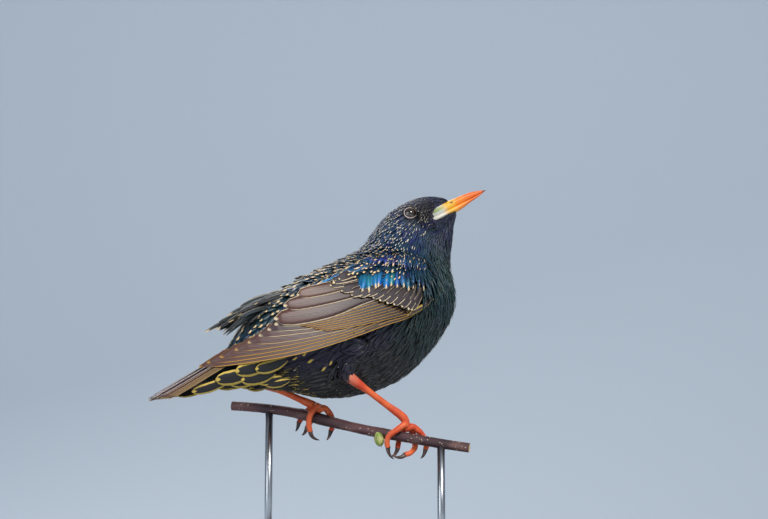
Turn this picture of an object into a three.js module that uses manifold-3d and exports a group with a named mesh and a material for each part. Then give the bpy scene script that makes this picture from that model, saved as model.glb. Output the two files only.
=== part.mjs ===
import * as THREE from 'three';
import { mergeVertices } from 'three/addons/utils/BufferGeometryUtils.js';
import Module from 'manifold-3d';

const wasm = await Module();
wasm.setup();

// A life-size starling on a cut twig, held over a flat base by two rods.
// Millimetres and degrees. +Z is up, the underside of the base is z = 0, the bird looks towards +X.
// The bird is measured on a curved mid sheet: s runs along x, z is height, side is positive to the right.
const gap = 0.3;
const sheetStart = -2;
const bodyHeading = 28;
const headHeading = 5;
const turnFrom = 6;
const turnTo = 32;

// Each row is one ring of the body: back s, back z, front s, front z, half width.
const bodyRows = [
  [43.2, 187.0, 45.9, 182.3, 2.2],
  [42.1, 187.4, 45.9, 181.5, 3.6],
  [38.2, 188.3, 44.9, 178.0, 6.4],
  [32.8, 188.9, 43.9, 174.5, 8.7],
  [26.5, 188.0, 43.7, 170.6, 10.3],
  [19.2, 184.5, 43.4, 166.7, 11.6],
  [11.9, 178.4, 42.7, 162.2, 12.8],
  [6.2, 170.5, 42.1, 156.9, 14.6],
  [0.5, 162.0, 42.4, 151.0, 17.8],
  [-8.9, 155.9, 44.4, 143.2, 21.8],
  [-18.7, 150.8, 44.2, 133.5, 24.6],
  [-28.8, 144.9, 38.6, 121.3, 25.8],
  [-37.0, 139.4, 29.0, 108.5, 25.6],
  [-44.1, 133.6, 15.3, 96.9, 23.6],
  [-49.5, 128.6, -1.7, 90.4, 20.6],
  [-52.5, 124.6, -18.4, 88.5, 17.4],
  [-55.6, 120.4, -30.3, 90.4, 14.2],
  [-58.6, 114.8, -42.6, 91.6, 10.8],
  [-63.0, 107.4, -53.6, 91.0, 8.0],
  [-67.6, 100.6, -62.0, 90.2, 5.4],
  [-71.6, 95.6, -69.6, 90.4, 2.2],
];
// The belly narrows between the legs, from one row to another.
const bellyPinch = { fromRow: 10, toRow: 14, amount: 0.42 };
const neckCut = 6.6;
const chestCut = 8.7;

// Mandible rows, from the tip back to the part that sits in the head.
const upperBillRows = [
  [59.9, 192.4, 59.7, 191.9, 0.35],
  [57.4, 192.1, 56.9, 190.7, 1.1],
  [53.5, 191.1, 52.8, 188.9, 1.8],
  [49.0, 189.6, 48.0, 186.8, 2.5],
  [44.5, 188.1, 43.0, 184.6, 3.2],
  [40.0, 186.2, 38.0, 182.5, 3.9],
  [36.0, 184.0, 34.5, 181.1, 4.0],
];
const lowerBillRows = [
  [58.4, 191.1, 58.3, 190.6, 0.35],
  [56.5, 190.2, 56.7, 189.1, 1.0],
  [52.6, 188.5, 53.3, 186.7, 1.7],
  [47.8, 186.3, 48.7, 184.1, 2.4],
  [43.0, 184.1, 44.0, 181.0, 3.1],
  [38.0, 182.0, 39.0, 178.5, 3.8],
  [34.3, 180.3, 35.2, 177.2, 3.9],
];

const eyeRadius = 4.2;
const eyePlace = { s: 21.4, side: 6.5, z: 178.6 };

// Folded wing: upper and lower edge as s, z, side, from the bend to the tip.
const wingTop = [
  [32.0, 146.5, 19.2], [28.6, 152.6, 19.0], [9.4, 155.9, 19.2], [-7.3, 151.7, 18.5], [-19.2, 144.7, 19.5],
  [-30.7, 138.6, 20], [-41, 132.2, 19], [-47.4, 123.4, 16.5], [-62.3, 111.2, 12], [-76.0, 101.2, 9],
];
const wingBottom = [
  [32.4, 142.2, 20.2], [29.0, 133.6, 24.0], [16.4, 128.7, 27], [1, 123.6, 28.3], [-14.3, 116.9, 28.5],
  [-29, 111.4, 27.3], [-42.9, 107.0, 23.5], [-56, 104.6, 17.8], [-67.0, 101.2, 12.5], [-76.4, 99.3, 9],
];
const wingBulge = 2.8;
const wingDepth = { bend: 9, tip: 1.0 };
// The far wing lies a little further forward and nearer the middle at its tip.
const farWingShift = { s: 8, z: 1.5, side: -2 };
const wingCuts = { coverts: 0.36, secondaries: 0.72 };

// Ruffled feathers of the rump: middle lines as s, side, z and their widths.
const rumpTufts = [
  [[-44, 3, 127.5], [-54, 4, 127.2], [-62.5, 4.5, 125], [-69.2, 5, 121.8]],
  [[-50, 2, 124], [-60, 3, 122], [-67, 4, 119], [-73.2, 4.5, 115]],
];
const tuftRadii = [4.2, 3.6, 2.4, 0.4];

// Tail: middle ridge as s, z from root to tip, half width, and how far each half droops.
const tailRidge = [[-44, 114.5], [-57.6, 108.6], [-68.4, 102.2], [-76.5, 96.9], [-85.4, 90.8], [-92.5, 86.0]];
const tailHalfWidth = { root: 7, wide: 12.5, tip: 5 };
const tailDroop = { near: 2.6, farRoot: 20.5, farTip: 1.6 };
const tailThickness = { root: 3.4, tip: 0.9 };

// Perch: middle line of the twig, seen from above it runs towards the viewer on the right.
const twigRadius = 2.35;
const twigLine = [
  [-62, 12.6, 87.3], [-53.3, 10.9, 86.6], [-41.7, 8.4, 85.2], [-29.3, 5.8, 82.9], [-12.6, 2.2, 78.4],
  [3.9, -1.3, 74.4], [19.8, -4.6, 71.3], [36.5, -8.2, 68.1], [50, -11, 65.9],
];
const twigWidths = [0.92, 0.95, 1, 1.16, 0.98, 1.04, 1, 0.97, 0.94];
const bud = { along: 9.4, angle: -128, distance: 4.8, length: 7.4, width: 4.8 };

// Legs: heel, ankle joint and the foot's place along the twig, and the knee end inside the body.
const legs = {
  right: { knee: [-3, -20.5, 117], heel: [-7.2, -17.6, 99.6], joint: [19.4, -6.4, 80.3], foot: 20.4 },
  left: { knee: [-20, 8, 108], heel: [-49.0, -9.8, 97.6], joint: [-22.4, 3.4, 86.6], foot: -21.2 },
};
const tibiaRadii = [8.5, 7.8, 5.2, 2.7];
const tarsusRadii = [1.0, 2.5, 1.65, 1.45, 1.5, 1.9, 2.1, 1.3];

// Toes wind round the twig: offset along it, angle from its top (far side positive), distance out.
const toePaths = {
  right: {
    1: [[-0.8, -25, 6.2], [-3.6, -62, 5.2], [-6.4, -98, 4.9], [-7.0, -128, 5.6], [-6.2, -148, 7.4]],
    2: [[-1.4, 25, 6.0], [-2.6, 62, 5.1], [-3.4, 98, 4.8], [-3.4, 132, 5.2], [-3.0, 158, 6.4]],
    3: [[0.6, 25, 6.0], [2.2, 62, 5.1], [3.6, 98, 4.8], [4.4, 135, 5.2], [3.6, 166, 6.4], [1.4, 186, 8.2]],
    4: [[2.2, 15, 5.7], [5.0, 38, 5.2], [7.6, 70, 4.7], [9.2, 104, 4.8], [9.4, 138, 5.4]],
  },
  left: {
    1: [[-0.8, -25, 6.2], [-1.8, -62, 5.2], [-2.2, -98, 5.0], [-1.6, -128, 6.2], [-0.2, -150, 8.2]],
    2: [[-2.2, 20, 5.9], [-5.2, 48, 5.2], [-7.2, 80, 4.7], [-8.2, 112, 4.8], [-8.6, 140, 5.4]],
    3: [[-0.6, 25, 6.0], [-1.8, 62, 5.1], [-3.0, 98, 4.7], [-3.6, 132, 5.0], [-3.8, 160, 6.0]],
    4: [[1.8, 18, 5.8], [4.2, 42, 5.2], [6.0, 74, 4.7], [6.8, 108, 4.8], [6.8, 140, 5.6]],
  },
};
// How far each claw carries its toe on: along the twig, round it and outwards.
const clawReach = {
  right: { 1: [3.6, -16, 4.0], 2: [-2.2, 22, 3.6], 3: [-5.2, 24, 2.4], 4: [-1.4, 26, 3.2] },
  left: { 1: [4.6, -18, 1.6], 2: [-0.4, 26, 3.2], 3: [-1.0, 24, 3.4], 4: [-0.6, 26, 3.4] },
};
const clawCurl = 0.9;
const toeRadii = [1.5, 1.45, 1.3, 1.25, 1.15];
const clawRadii = [1.0, 0.85, 0.55, 0.25];

// Stand: a flat base with rounded corners and two rods let into the twig.
const base = { length: 150, width: 92, height: 10, corner: 14, bevel: 1.2 };
const rodRadius = 1.8;
const rodSink = 1.6;
const rodPlaces = { stand_rod_left: -44, stand_rod_right: 37 };

const radians = THREE.MathUtils.degToRad;

function heading(s) {
  const turned = THREE.MathUtils.smoothstep(s, turnFrom, turnTo);
  return radians(THREE.MathUtils.lerp(bodyHeading, headHeading, turned));
}

function sheetDepth(s) {
  const steps = 40;
  const stride = (s - sheetStart) / steps;
  let depth = 0;
  for (let i = 0; i < steps; i += 1) {
    depth += Math.tan(heading(sheetStart + stride * (i + 0.5))) * stride;
  }
  return depth;
}

function place(s, side, z) {
  const turn = heading(s);
  return new THREE.Vector3(s + side * Math.sin(turn), sheetDepth(s) - side * Math.cos(turn), z);
}

function outward(geometry) {
  const at = geometry.attributes.position;
  const order = geometry.index.array;
  const a = new THREE.Vector3();
  const b = new THREE.Vector3();
  const c = new THREE.Vector3();
  let volume = 0;
  for (let i = 0; i < order.length; i += 3) {
    a.fromBufferAttribute(at, order[i]);
    b.fromBufferAttribute(at, order[i + 1]);
    c.fromBufferAttribute(at, order[i + 2]);
    volume += a.dot(b.cross(c));
  }
  if (volume < 0) {
    for (let i = 0; i < order.length; i += 3) {
      const kept = order[i];
      order[i] = order[i + 1];
      order[i + 1] = kept;
    }
  }
  return geometry;
}

// Bends a stock shape by moving each of its corners to where the rule puts it.
function bend(geometry, rule) {
  const at = geometry.attributes.position;
  const corner = new THREE.Vector3();
  for (let i = 0; i < at.count; i += 1) {
    corner.fromBufferAttribute(at, i);
    const moved = rule(corner);
    at.setXYZ(i, moved.x, moved.y, moved.z);
  }
  geometry.deleteAttribute('normal');
  geometry.deleteAttribute('uv');
  return outward(mergeVertices(geometry, 0.001));
}

// A cylinder whose rings follow a rule of distance along (0 to 1) and angle, with flat ends.
function along(sides, steps, ring) {
  const stock = new THREE.CylinderGeometry(1, 1, 1, sides, steps);
  return bend(stock, (corner) => {
    const u = 0.5 - corner.y;
    const reach = Math.hypot(corner.x, corner.z);
    const middle = ring(u, 0).add(ring(u, Math.PI)).multiplyScalar(0.5);
    if (reach < 0.5) {
      return middle;
    }
    return ring(u, Math.atan2(corner.x, corner.z));
  });
}

function rowCurves(rows) {
  const back = rows.map(([s, z, , , width]) => new THREE.Vector3(s, z, width));
  const front = rows.map(([, , s, z]) => new THREE.Vector3(s, z, 0));
  return {
    back: new THREE.CatmullRomCurve3(back, false, 'centripetal'),
    front: new THREE.CatmullRomCurve3(front, false, 'centripetal'),
  };
}

function rowLoft(rows, sides, steps, grow = 0, pinch = null) {
  const { back, front } = rowCurves(rows);
  return along(sides, steps, (u, angle) => {
    const top = back.getPoint(u);
    const low = front.getPoint(u);
    const height = Math.hypot(top.x - low.x, top.y - low.y);
    const share = (1 - Math.cos(angle)) / 2;
    const spread = share + grow / height * (share * 2 - 1);
    const s = THREE.MathUtils.lerp(top.x, low.x, spread);
    const z = THREE.MathUtils.lerp(top.y, low.y, spread);
    const row = u * (rows.length - 1);
    const narrow = pinch ? pinch.amount * THREE.MathUtils.smoothstep(row, pinch.fromRow, pinch.toRow) : 0;
    const width = top.z * (1 - narrow * share) + grow;
    const point = place(s, width * Math.sin(angle), z);
    if (u < 0.001 || u > 0.999) {
      const inner = u < 0.5 ? 0.02 : 0.98;
      const end = back.getPoint(u).add(front.getPoint(u));
      const step = end.sub(back.getPoint(inner).add(front.getPoint(inner))).setZ(0).normalize();
      point.add(new THREE.Vector3(step.x * grow, 0, step.y * grow));
    }
    return point;
  });
}

function tube(points, radii, sides, steps, grow = 0) {
  const line = new THREE.CatmullRomCurve3(points, false, 'centripetal');
  const frames = line.computeFrenetFrames(steps, false);
  const widths = new THREE.CatmullRomCurve3(radii.map((radius) => new THREE.Vector3(radius, 0, 0)));
  return along(sides, steps, (u, angle) => {
    const i = Math.round(u * steps);
    const radius = Math.max(widths.getPoint(u).x, 0.25) + grow;
    const point = line.getPointAt(u);
    if (i === 0 || i === steps) {
      point.addScaledVector(frames.tangents[i], i === 0 ? -grow : grow);
    }
    point.addScaledVector(frames.normals[i], radius * Math.cos(angle));
    return point.addScaledVector(frames.binormals[i], radius * Math.sin(angle));
  });
}

function solid(geometry) {
  const stock = geometry.clone();
  stock.deleteAttribute('normal');
  stock.deleteAttribute('uv');
  const merged = mergeVertices(stock, 0.001);
  return new wasm.Manifold(new wasm.Mesh({
    numProp: 3,
    vertProperties: new Float32Array(merged.attributes.position.array),
    triVerts: new Uint32Array(merged.index.array),
  }));
}

function surface(body) {
  const mesh = body.getMesh();
  const geometry = new THREE.BufferGeometry();
  geometry.setAttribute('position', new THREE.BufferAttribute(new Float32Array(mesh.vertProperties), 3));
  geometry.setIndex(new THREE.BufferAttribute(new Uint32Array(mesh.triVerts), 1));
  geometry.computeVertexNormals();
  return geometry;
}

// A very large block whose one face lies on a plane, to keep what is in front of that plane.
function beyond(point, normal) {
  const size = 400;
  const block = new THREE.BoxGeometry(size, size, size);
  const turn = new THREE.Quaternion().setFromUnitVectors(new THREE.Vector3(0, 0, 1), normal);
  block.applyQuaternion(turn);
  const middle = normal.clone().multiplyScalar(size / 2 + gap / 2).add(point);
  block.translate(middle.x, middle.y, middle.z);
  return solid(block);
}

function bodyPlane(row) {
  const { back, front } = rowCurves(bodyRows);
  const at = (index, curve) => {
    const point = curve.getPoint(index / (bodyRows.length - 1));
    return place(point.x, 0, point.y);
  };
  const top = at(row, back);
  const low = at(row, front);
  const middle = top.clone().add(low).multiplyScalar(0.5);
  const turn = heading(middle.x);
  const across = new THREE.Vector3(Math.sin(turn), -Math.cos(turn), 0);
  const normal = low.clone().sub(top).cross(across).normalize();
  const ahead = at(row + 0.5, back).add(at(row + 0.5, front)).multiplyScalar(0.5).sub(middle);
  if (normal.dot(ahead) < 0) {
    normal.negate();
  }
  return { middle, normal };
}

function edgeCurve(rows) {
  return new THREE.CatmullRomCurve3(rows.map(([s, z, side]) => new THREE.Vector3(s, z, side)));
}

function wing(sign, grow = 0) {
  const top = edgeCurve(wingTop);
  const low = edgeCurve(wingBottom);
  return bend(new THREE.BoxGeometry(1, 1, 1, 20, 6, 1), (corner) => {
    const u = corner.x + 0.5;
    const v = 0.5 - corner.y;
    const high = top.getPointAt(u);
    const down = low.getPointAt(u);
    const reach = high.distanceTo(down);
    const edge = high.clone().lerp(down, v + (v - 0.5) * 2 * grow / reach);
    const depth = THREE.MathUtils.lerp(wingDepth.bend, wingDepth.tip, Math.min(1, u * 1.12));
    const hump = wingBulge * Math.sin(Math.PI * v) * (1 - u);
    const rim = Math.sin(Math.PI * THREE.MathUtils.clamp(v, 0.06, 0.94)) ** 0.35;
    const side = edge.z + hump + (corner.z > 0 ? grow : -grow - depth * rim);
    const shift = sign < 0 ? u ** 3 : 0;
    const s = edge.x + farWingShift.s * shift;
    return place(s, (side + farWingShift.side * shift) * sign, edge.y + farWingShift.z * shift);
  });
}

function wingPlane(u, sign) {
  const top = edgeCurve(wingTop).getPointAt(u);
  const low = edgeCurve(wingBottom).getPointAt(u);
  const high = place(top.x, top.z * sign, top.y);
  const down = place(low.x, low.z * sign, low.y);
  const turn = heading(top.x);
  const across = new THREE.Vector3(Math.sin(turn), -Math.cos(turn), 0);
  const normal = down.clone().sub(high).cross(across).normalize();
  if (normal.x > 0) {
    normal.negate();
  }
  return { middle: high, normal };
}

function tail(grow = 0) {
  const ridge = new THREE.CatmullRomCurve3(tailRidge.map(([s, z]) => new THREE.Vector3(s, z, 0)));
  return bend(new THREE.BoxGeometry(1, 1, 1, 12, 8, 1), (corner) => {
    const u = corner.x + 0.5;
    const v = corner.y * 2;
    const centre = ridge.getPointAt(u);
    const fan = THREE.MathUtils.lerp(tailHalfWidth.root, tailHalfWidth.wide, Math.min(1, u * 1.7));
    const close = THREE.MathUtils.smoothstep(u, 0.72, 1);
    const half = THREE.MathUtils.lerp(fan, tailHalfWidth.tip, close) + grow;
    const farDroop = THREE.MathUtils.lerp(tailDroop.farRoot, tailDroop.farTip, Math.min(1, u * 1.12));
    const droop = (v > 0 ? tailDroop.near : farDroop) * v * v;
    const thick = THREE.MathUtils.lerp(tailThickness.root, tailThickness.tip, u) * 0.5 + grow;
    const end = u > 0.999 ? -grow : 0;
    return place(centre.x + end, v * half, centre.y - droop + (corner.z > 0 ? thick : -thick));
  });
}

const twigCurve = new THREE.CatmullRomCurve3(twigLine.map((point) => new THREE.Vector3(...point)));

function twigFrame(x) {
  let low = 0;
  let high = 1;
  for (let i = 0; i < 30; i += 1) {
    const guess = (low + high) / 2;
    if (twigCurve.getPoint(guess).x < x) {
      low = guess;
    } else {
      high = guess;
    }
  }
  const centre = twigCurve.getPoint(low);
  const run = twigCurve.getTangent(low);
  const far = new THREE.Vector3(0, 0, 1).cross(run).normalize();
  const up = run.clone().cross(far);
  return { centre, far, up };
}

function roundTwig(x, angle, distance) {
  const { centre, far, up } = twigFrame(x);
  const turn = radians(angle);
  centre.addScaledVector(up, Math.cos(turn) * distance);
  return centre.addScaledVector(far, Math.sin(turn) * distance);
}

function toeLine(foot, path) {
  return path.map(([offset, angle, distance]) => roundTwig(foot + offset, angle, distance));
}

function clawLine(foot, path, reach) {
  const [offset, angle, distance] = path[path.length - 1];
  const [onward, turn, outward] = reach;
  const line = [];
  for (let i = 0; i < 4; i += 1) {
    const share = i / 3;
    const bulge = clawCurl * Math.sin(Math.PI * share);
    const x = foot + offset + onward * share ** 1.3;
    line.push(roundTwig(x, angle + turn * share, distance + outward * share + bulge));
  }
  return line;
}

const colours = {
  plumage: ['#1b2a38', 0.42, 0.25],
  hackles: ['#16323c', 0.38, 0.3],
  wing: ['#54392f', 0.55, 0],
  tail: ['#43302a', 0.55, 0],
  upperBill: ['#e39a3c', 0.4, 0],
  lowerBill: ['#d9b24a', 0.4, 0],
  eye: ['#1c120c', 0.08, 0],
  leg: ['#d4613a', 0.5, 0],
  claw: ['#3a2b28', 0.4, 0],
  twig: ['#4a2f36', 0.75, 0],
  bud: ['#8f9a45', 0.7, 0],
  base: ['#3b2a1f', 0.5, 0],
  rod: ['#8c8f94', 0.3, 1],
};

const part = new THREE.Group();
part.name = 'starling_on_perch';

function add(name, geometry, kind) {
  const [color, roughness, metalness] = colours[kind];
  const material = new THREE.MeshStandardMaterial({ color, roughness, metalness });
  const mesh = new THREE.Mesh(geometry, material);
  mesh.name = name;
  part.add(mesh);
}

// Stand.
const outline = new THREE.Shape();
const halfLength = base.length / 2 - base.bevel;
const halfWidth = base.width / 2 - base.bevel;
const corner = base.corner - base.bevel;
const quarters = [[1, -1], [1, 1], [-1, 1], [-1, -1]];
quarters.forEach(([sx, sy], i) => {
  const start = radians(-90 + 90 * i);
  outline.absarc(sx * (halfLength - corner), sy * (halfWidth - corner), corner, start, start + Math.PI / 2);
});
outline.closePath();
const slab = new THREE.ExtrudeGeometry(outline, {
  depth: base.height - 2 * base.bevel,
  bevelThickness: base.bevel,
  bevelSize: base.bevel,
  bevelSegments: 1,
  curveSegments: 4,
});
slab.translate(0, 0, base.bevel);
let baseSolid = solid(slab);

const twigPoints = twigLine.map((point) => new THREE.Vector3(...point));
const twigRadii = twigWidths.map((width) => width * twigRadius);
let twigSolid = solid(tube(twigPoints, twigRadii, 10, 18));

for (const [name, x] of Object.entries(rodPlaces)) {
  const { centre } = twigFrame(x);
  const foot = base.height - 4;
  const top = centre.z - twigRadius + rodSink;
  const rod = (grow) => {
    const stock = new THREE.CylinderGeometry(rodRadius + grow, rodRadius + grow, top - foot + 2 * grow, 16);
    stock.rotateX(Math.PI / 2);
    stock.translate(centre.x, centre.y, (top + foot) / 2);
    return stock;
  };
  const hole = solid(rod(gap));
  baseSolid = baseSolid.subtract(hole);
  twigSolid = twigSolid.subtract(hole);
  add(name, surface(solid(rod(0))), 'rod');
}
add('stand_base', surface(baseSolid), 'base');

// Bud on the near side of the twig, between the feet.
const budShape = (grow) => {
  const stock = new THREE.SphereGeometry(0.5, 10, 7);
  stock.scale(bud.width + 2 * grow, bud.width * 0.9 + 2 * grow, bud.length + 2 * grow);
  stock.rotateY(radians(-12));
  const spot = roundTwig(bud.along, bud.angle, bud.distance);
  stock.translate(spot.x, spot.y, spot.z);
  return solid(stock);
};
add('perch_bud', surface(budShape(0).subtract(solid(tube(twigPoints, twigRadii, 10, 18, gap)))), 'bud');
add('perch_twig', surface(twigSolid), 'twig');

// Body in one piece, then parted by thin cuts.
const bodySides = 20;
const bodySteps = 28;
const whole = solid(rowLoft(bodyRows, bodySides, bodySteps, 0, bellyPinch));
const grown = solid(rowLoft(bodyRows, bodySides, bodySteps, gap, bellyPinch));
const neckPlane = bodyPlane(neckCut);
const chestPlane = bodyPlane(chestCut);
const back = (plane) => beyond(plane.middle, plane.normal.clone().negate());
const front = (plane) => beyond(plane.middle, plane.normal);

let head = whole.intersect(back(neckPlane));
const neck = whole.intersect(front(neckPlane)).intersect(back(chestPlane));
let trunk = whole.intersect(front(chestPlane));

const bills = { bill_upper: upperBillRows, bill_lower: lowerBillRows };
for (const [name, rows] of Object.entries(bills)) {
  head = head.subtract(solid(rowLoft(rows, 10, 8, gap)));
  add(name, surface(solid(rowLoft(rows, 10, 8))), name === 'bill_upper' ? 'upperBill' : 'lowerBill');
}
for (const [name, sign] of [['eye_right', 1], ['eye_left', -1]]) {
  const ball = (grow) => {
    const stock = new THREE.SphereGeometry(eyeRadius + grow, 14, 9);
    const centre = place(eyePlace.s, eyePlace.side * sign, eyePlace.z);
    stock.translate(centre.x, centre.y, centre.z);
    return solid(stock);
  };
  head = head.subtract(ball(gap));
  add(name, surface(ball(0)), 'eye');
}
add('head', surface(head), 'plumage');
add('neck', surface(neck), 'hackles');

// Tail, then the wings lying on trunk, neck and tail.
add('tail', surface(solid(tail()).subtract(grown)), 'tail');
const grownTail = solid(tail(gap));
const grownWings = {};
for (const [name, sign] of [['right', 1], ['left', -1]]) {
  const folded = solid(wing(sign)).subtract(grown).subtract(grownTail);
  grownWings[name] = solid(wing(sign, gap));
  const first = wingPlane(wingCuts.coverts, sign);
  const second = wingPlane(wingCuts.secondaries, sign);
  add(`wing_${name}_coverts`, surface(folded.intersect(back(first))), 'plumage');
  add(`wing_${name}_secondaries`, surface(folded.intersect(front(first)).intersect(back(second))), 'wing');
  add(`wing_${name}_primaries`, surface(folded.intersect(front(second))), 'wing');
}

let tufts = null;
for (const line of rumpTufts) {
  const points = line.map(([s, side, z]) => place(s, side, z));
  const tuft = solid(tube(points, tuftRadii, 7, 5));
  tufts = tufts ? tufts.add(tuft) : tuft;
}
tufts = tufts.subtract(grown).subtract(grownWings.right).subtract(grownWings.left);
add('rump_feathers', surface(tufts), 'plumage');

// Legs and feet.
for (const [name, leg] of Object.entries(legs)) {
  const knee = new THREE.Vector3(...leg.knee);
  const heel = new THREE.Vector3(...leg.heel);
  const joint = new THREE.Vector3(...leg.joint);
  const palm = roundTwig(leg.foot, 0, 4.6);
  const shin = heel.clone().sub(knee);
  const tibiaLine = [0, 0.33, 0.66, 0.9].map((share) => knee.clone().addScaledVector(shin, share));
  const spur = heel.clone().sub(joint).setLength(1.6).add(heel);
  const tarsusLine = [spur, heel, joint, palm];
  const tarsus = (grow) => tube(tarsusLine, tarsusRadii, 8, 12, grow);
  const grownTarsus = solid(tarsus(gap));
  const thigh = solid(tube(tibiaLine, tibiaRadii, 12, 5));
  const tibia = thigh.subtract(grown).subtract(grownTarsus).subtract(grownWings[name]);
  trunk = trunk.subtract(grownTarsus);
  add(`tibia_${name}`, surface(tibia), 'plumage');
  add(`tarsus_${name}`, surface(solid(tarsus(0))), 'leg');
  let taken = grownTarsus;
  for (const [toe, path] of Object.entries(toePaths[name])) {
    const line = toeLine(leg.foot, path);
    const nail = clawLine(leg.foot, path, clawReach[name][toe]);
    const toeSolid = solid(tube(line, toeRadii, 7, 8)).subtract(taken);
    const grownToe = solid(tube(line, toeRadii, 7, 8, gap));
    taken = taken.add(grownToe);
    add(`toe_${name}_${toe}`, surface(toeSolid), 'leg');
    const nailSolid = solid(tube(nail, clawRadii, 6, 4)).subtract(taken);
    taken = taken.add(solid(tube(nail, clawRadii, 6, 4, gap)));
    add(`claw_${name}_${toe}`, surface(nailSolid), 'claw');
  }
}
add('trunk', surface(trunk), 'plumage');

export default part;
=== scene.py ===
import itertools
import math
import random

import bmesh
import bpy
import numpy as np
from mathutils import Matrix, Vector, noise
from mathutils.bvhtree import BVHTree


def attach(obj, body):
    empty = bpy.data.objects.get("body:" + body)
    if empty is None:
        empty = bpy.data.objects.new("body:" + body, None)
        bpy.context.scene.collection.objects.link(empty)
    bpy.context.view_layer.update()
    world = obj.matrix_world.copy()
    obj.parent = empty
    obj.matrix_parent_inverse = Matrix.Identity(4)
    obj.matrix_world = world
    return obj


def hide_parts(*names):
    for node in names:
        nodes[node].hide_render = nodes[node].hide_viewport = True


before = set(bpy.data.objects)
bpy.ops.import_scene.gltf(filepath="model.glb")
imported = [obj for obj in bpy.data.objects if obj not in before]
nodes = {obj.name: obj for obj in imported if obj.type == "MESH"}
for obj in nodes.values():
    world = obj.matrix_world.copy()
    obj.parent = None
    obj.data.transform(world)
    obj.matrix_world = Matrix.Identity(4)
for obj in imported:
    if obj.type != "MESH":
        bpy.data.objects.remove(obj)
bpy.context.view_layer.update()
scene = bpy.context.scene
scene.view_settings.view_transform = "Standard"

# Lengths below are in millimetres and become metres when a mesh is made.
mm = 0.001
bothSides = (("right", 1), ("left", -1))
rng = np.random.default_rng(11)
random.seed(11)


def linear(code):
    parts = [int(code[i:i + 2], 16) / 255 for i in (1, 3, 5)]
    return tuple(p / 12.92 if p < 0.04045 else ((p + 0.055) / 1.055) ** 2.4 for p in parts)


def rgba(code):
    return (*linear(code), 1.0)


def smoothStep(x, low, high):
    t = np.clip((np.asarray(x, float) - low) / (high - low), 0, 1)
    return t * t * (3 - 2 * t)


def lerp(a, b, t):
    return a + (b - a) * t


# Vectors of length one. One without a length stays as it is.
def unit(vectors):
    return vectors / np.maximum(np.linalg.norm(vectors, axis=-1, keepdims=True), 1e-12)


# Middle points or normals of all vertices of a mesh.
def readVerts(mesh, what="co"):
    flat = np.empty(len(mesh.vertices) * 3)
    mesh.vertices.foreach_get(what, flat)
    return flat.reshape(-1, 3)

# The bird's middle is a curved upright sheet: s runs along it, side is positive to its right.
sheet = {"start": -2.0, "body": 28.0, "head": 5.0, "turnFrom": 6.0, "turnTo": 32.0}
gridS = np.linspace(-130, 90, 881)
gridHeading = np.radians(lerp(sheet["body"], sheet["head"],
                              smoothStep(gridS, sheet["turnFrom"], sheet["turnTo"])))
gridDepth = np.cumsum(np.tan(gridHeading)) * (gridS[1] - gridS[0])
gridDepth -= np.interp(sheet["start"], gridS, gridDepth)


def headingAt(s):
    return np.interp(s, gridS, gridHeading)


def place(s, side, z):
    turn = headingAt(s)
    depth = np.interp(s, gridS, gridDepth)
    return np.stack([s + side * np.sin(turn), depth - side * np.cos(turn), z + 0 * turn], -1)


def toSheet(points):
    x, y, z = points[:, 0], points[:, 1], points[:, 2]
    s = x.copy()
    for _ in range(40):
        turn = headingAt(s)
        side = (np.interp(s, gridS, gridDepth) - y) / np.cos(turn)
        s = 0.5 * s + 0.5 * (x - side * np.sin(turn))
    return s, side, z


# The level direction out of the sheet to one side: 1 is the bird's right, -1 its left.
def outward(s, sign=1):
    turn = headingAt(s)
    return np.array((math.sin(turn), -math.cos(turn), 0.0)) * sign


# Materials as expressions
class Wire:
    def __init__(self, tree, socket):
        self.tree = tree
        self.socket = socket

    def op(self, kind, *others):
        node = self.tree.nodes.new("ShaderNodeMath")
        node.operation = kind
        for i, value in enumerate((self, *others)):
            plug(self.tree, value, node.inputs[i])
        return Wire(self.tree, node.outputs[0])

    def __add__(self, other):
        return self.op("ADD", other)

    def __sub__(self, other):
        return self.op("SUBTRACT", other)

    def __mul__(self, other):
        return self.op("MULTIPLY", other)

    def __rsub__(self, other):
        return self * -1.0 + other

    __radd__ = __add__
    __rmul__ = __mul__

    def step(self, low, high):
        node = self.tree.nodes.new("ShaderNodeMapRange")
        node.interpolation_type = "SMOOTHSTEP"
        plug(self.tree, self, node.inputs["Value"])
        plug(self.tree, low, node.inputs["From Min"])
        plug(self.tree, high, node.inputs["From Max"])
        return Wire(self.tree, node.outputs[0])


# Feeds a socket with a wire, a number or a colour code.
def plug(tree, value, socket):
    if isinstance(value, Wire):
        tree.links.new(value.socket, socket)
    else:
        socket.default_value = rgba(value) if isinstance(value, str) else value


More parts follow.
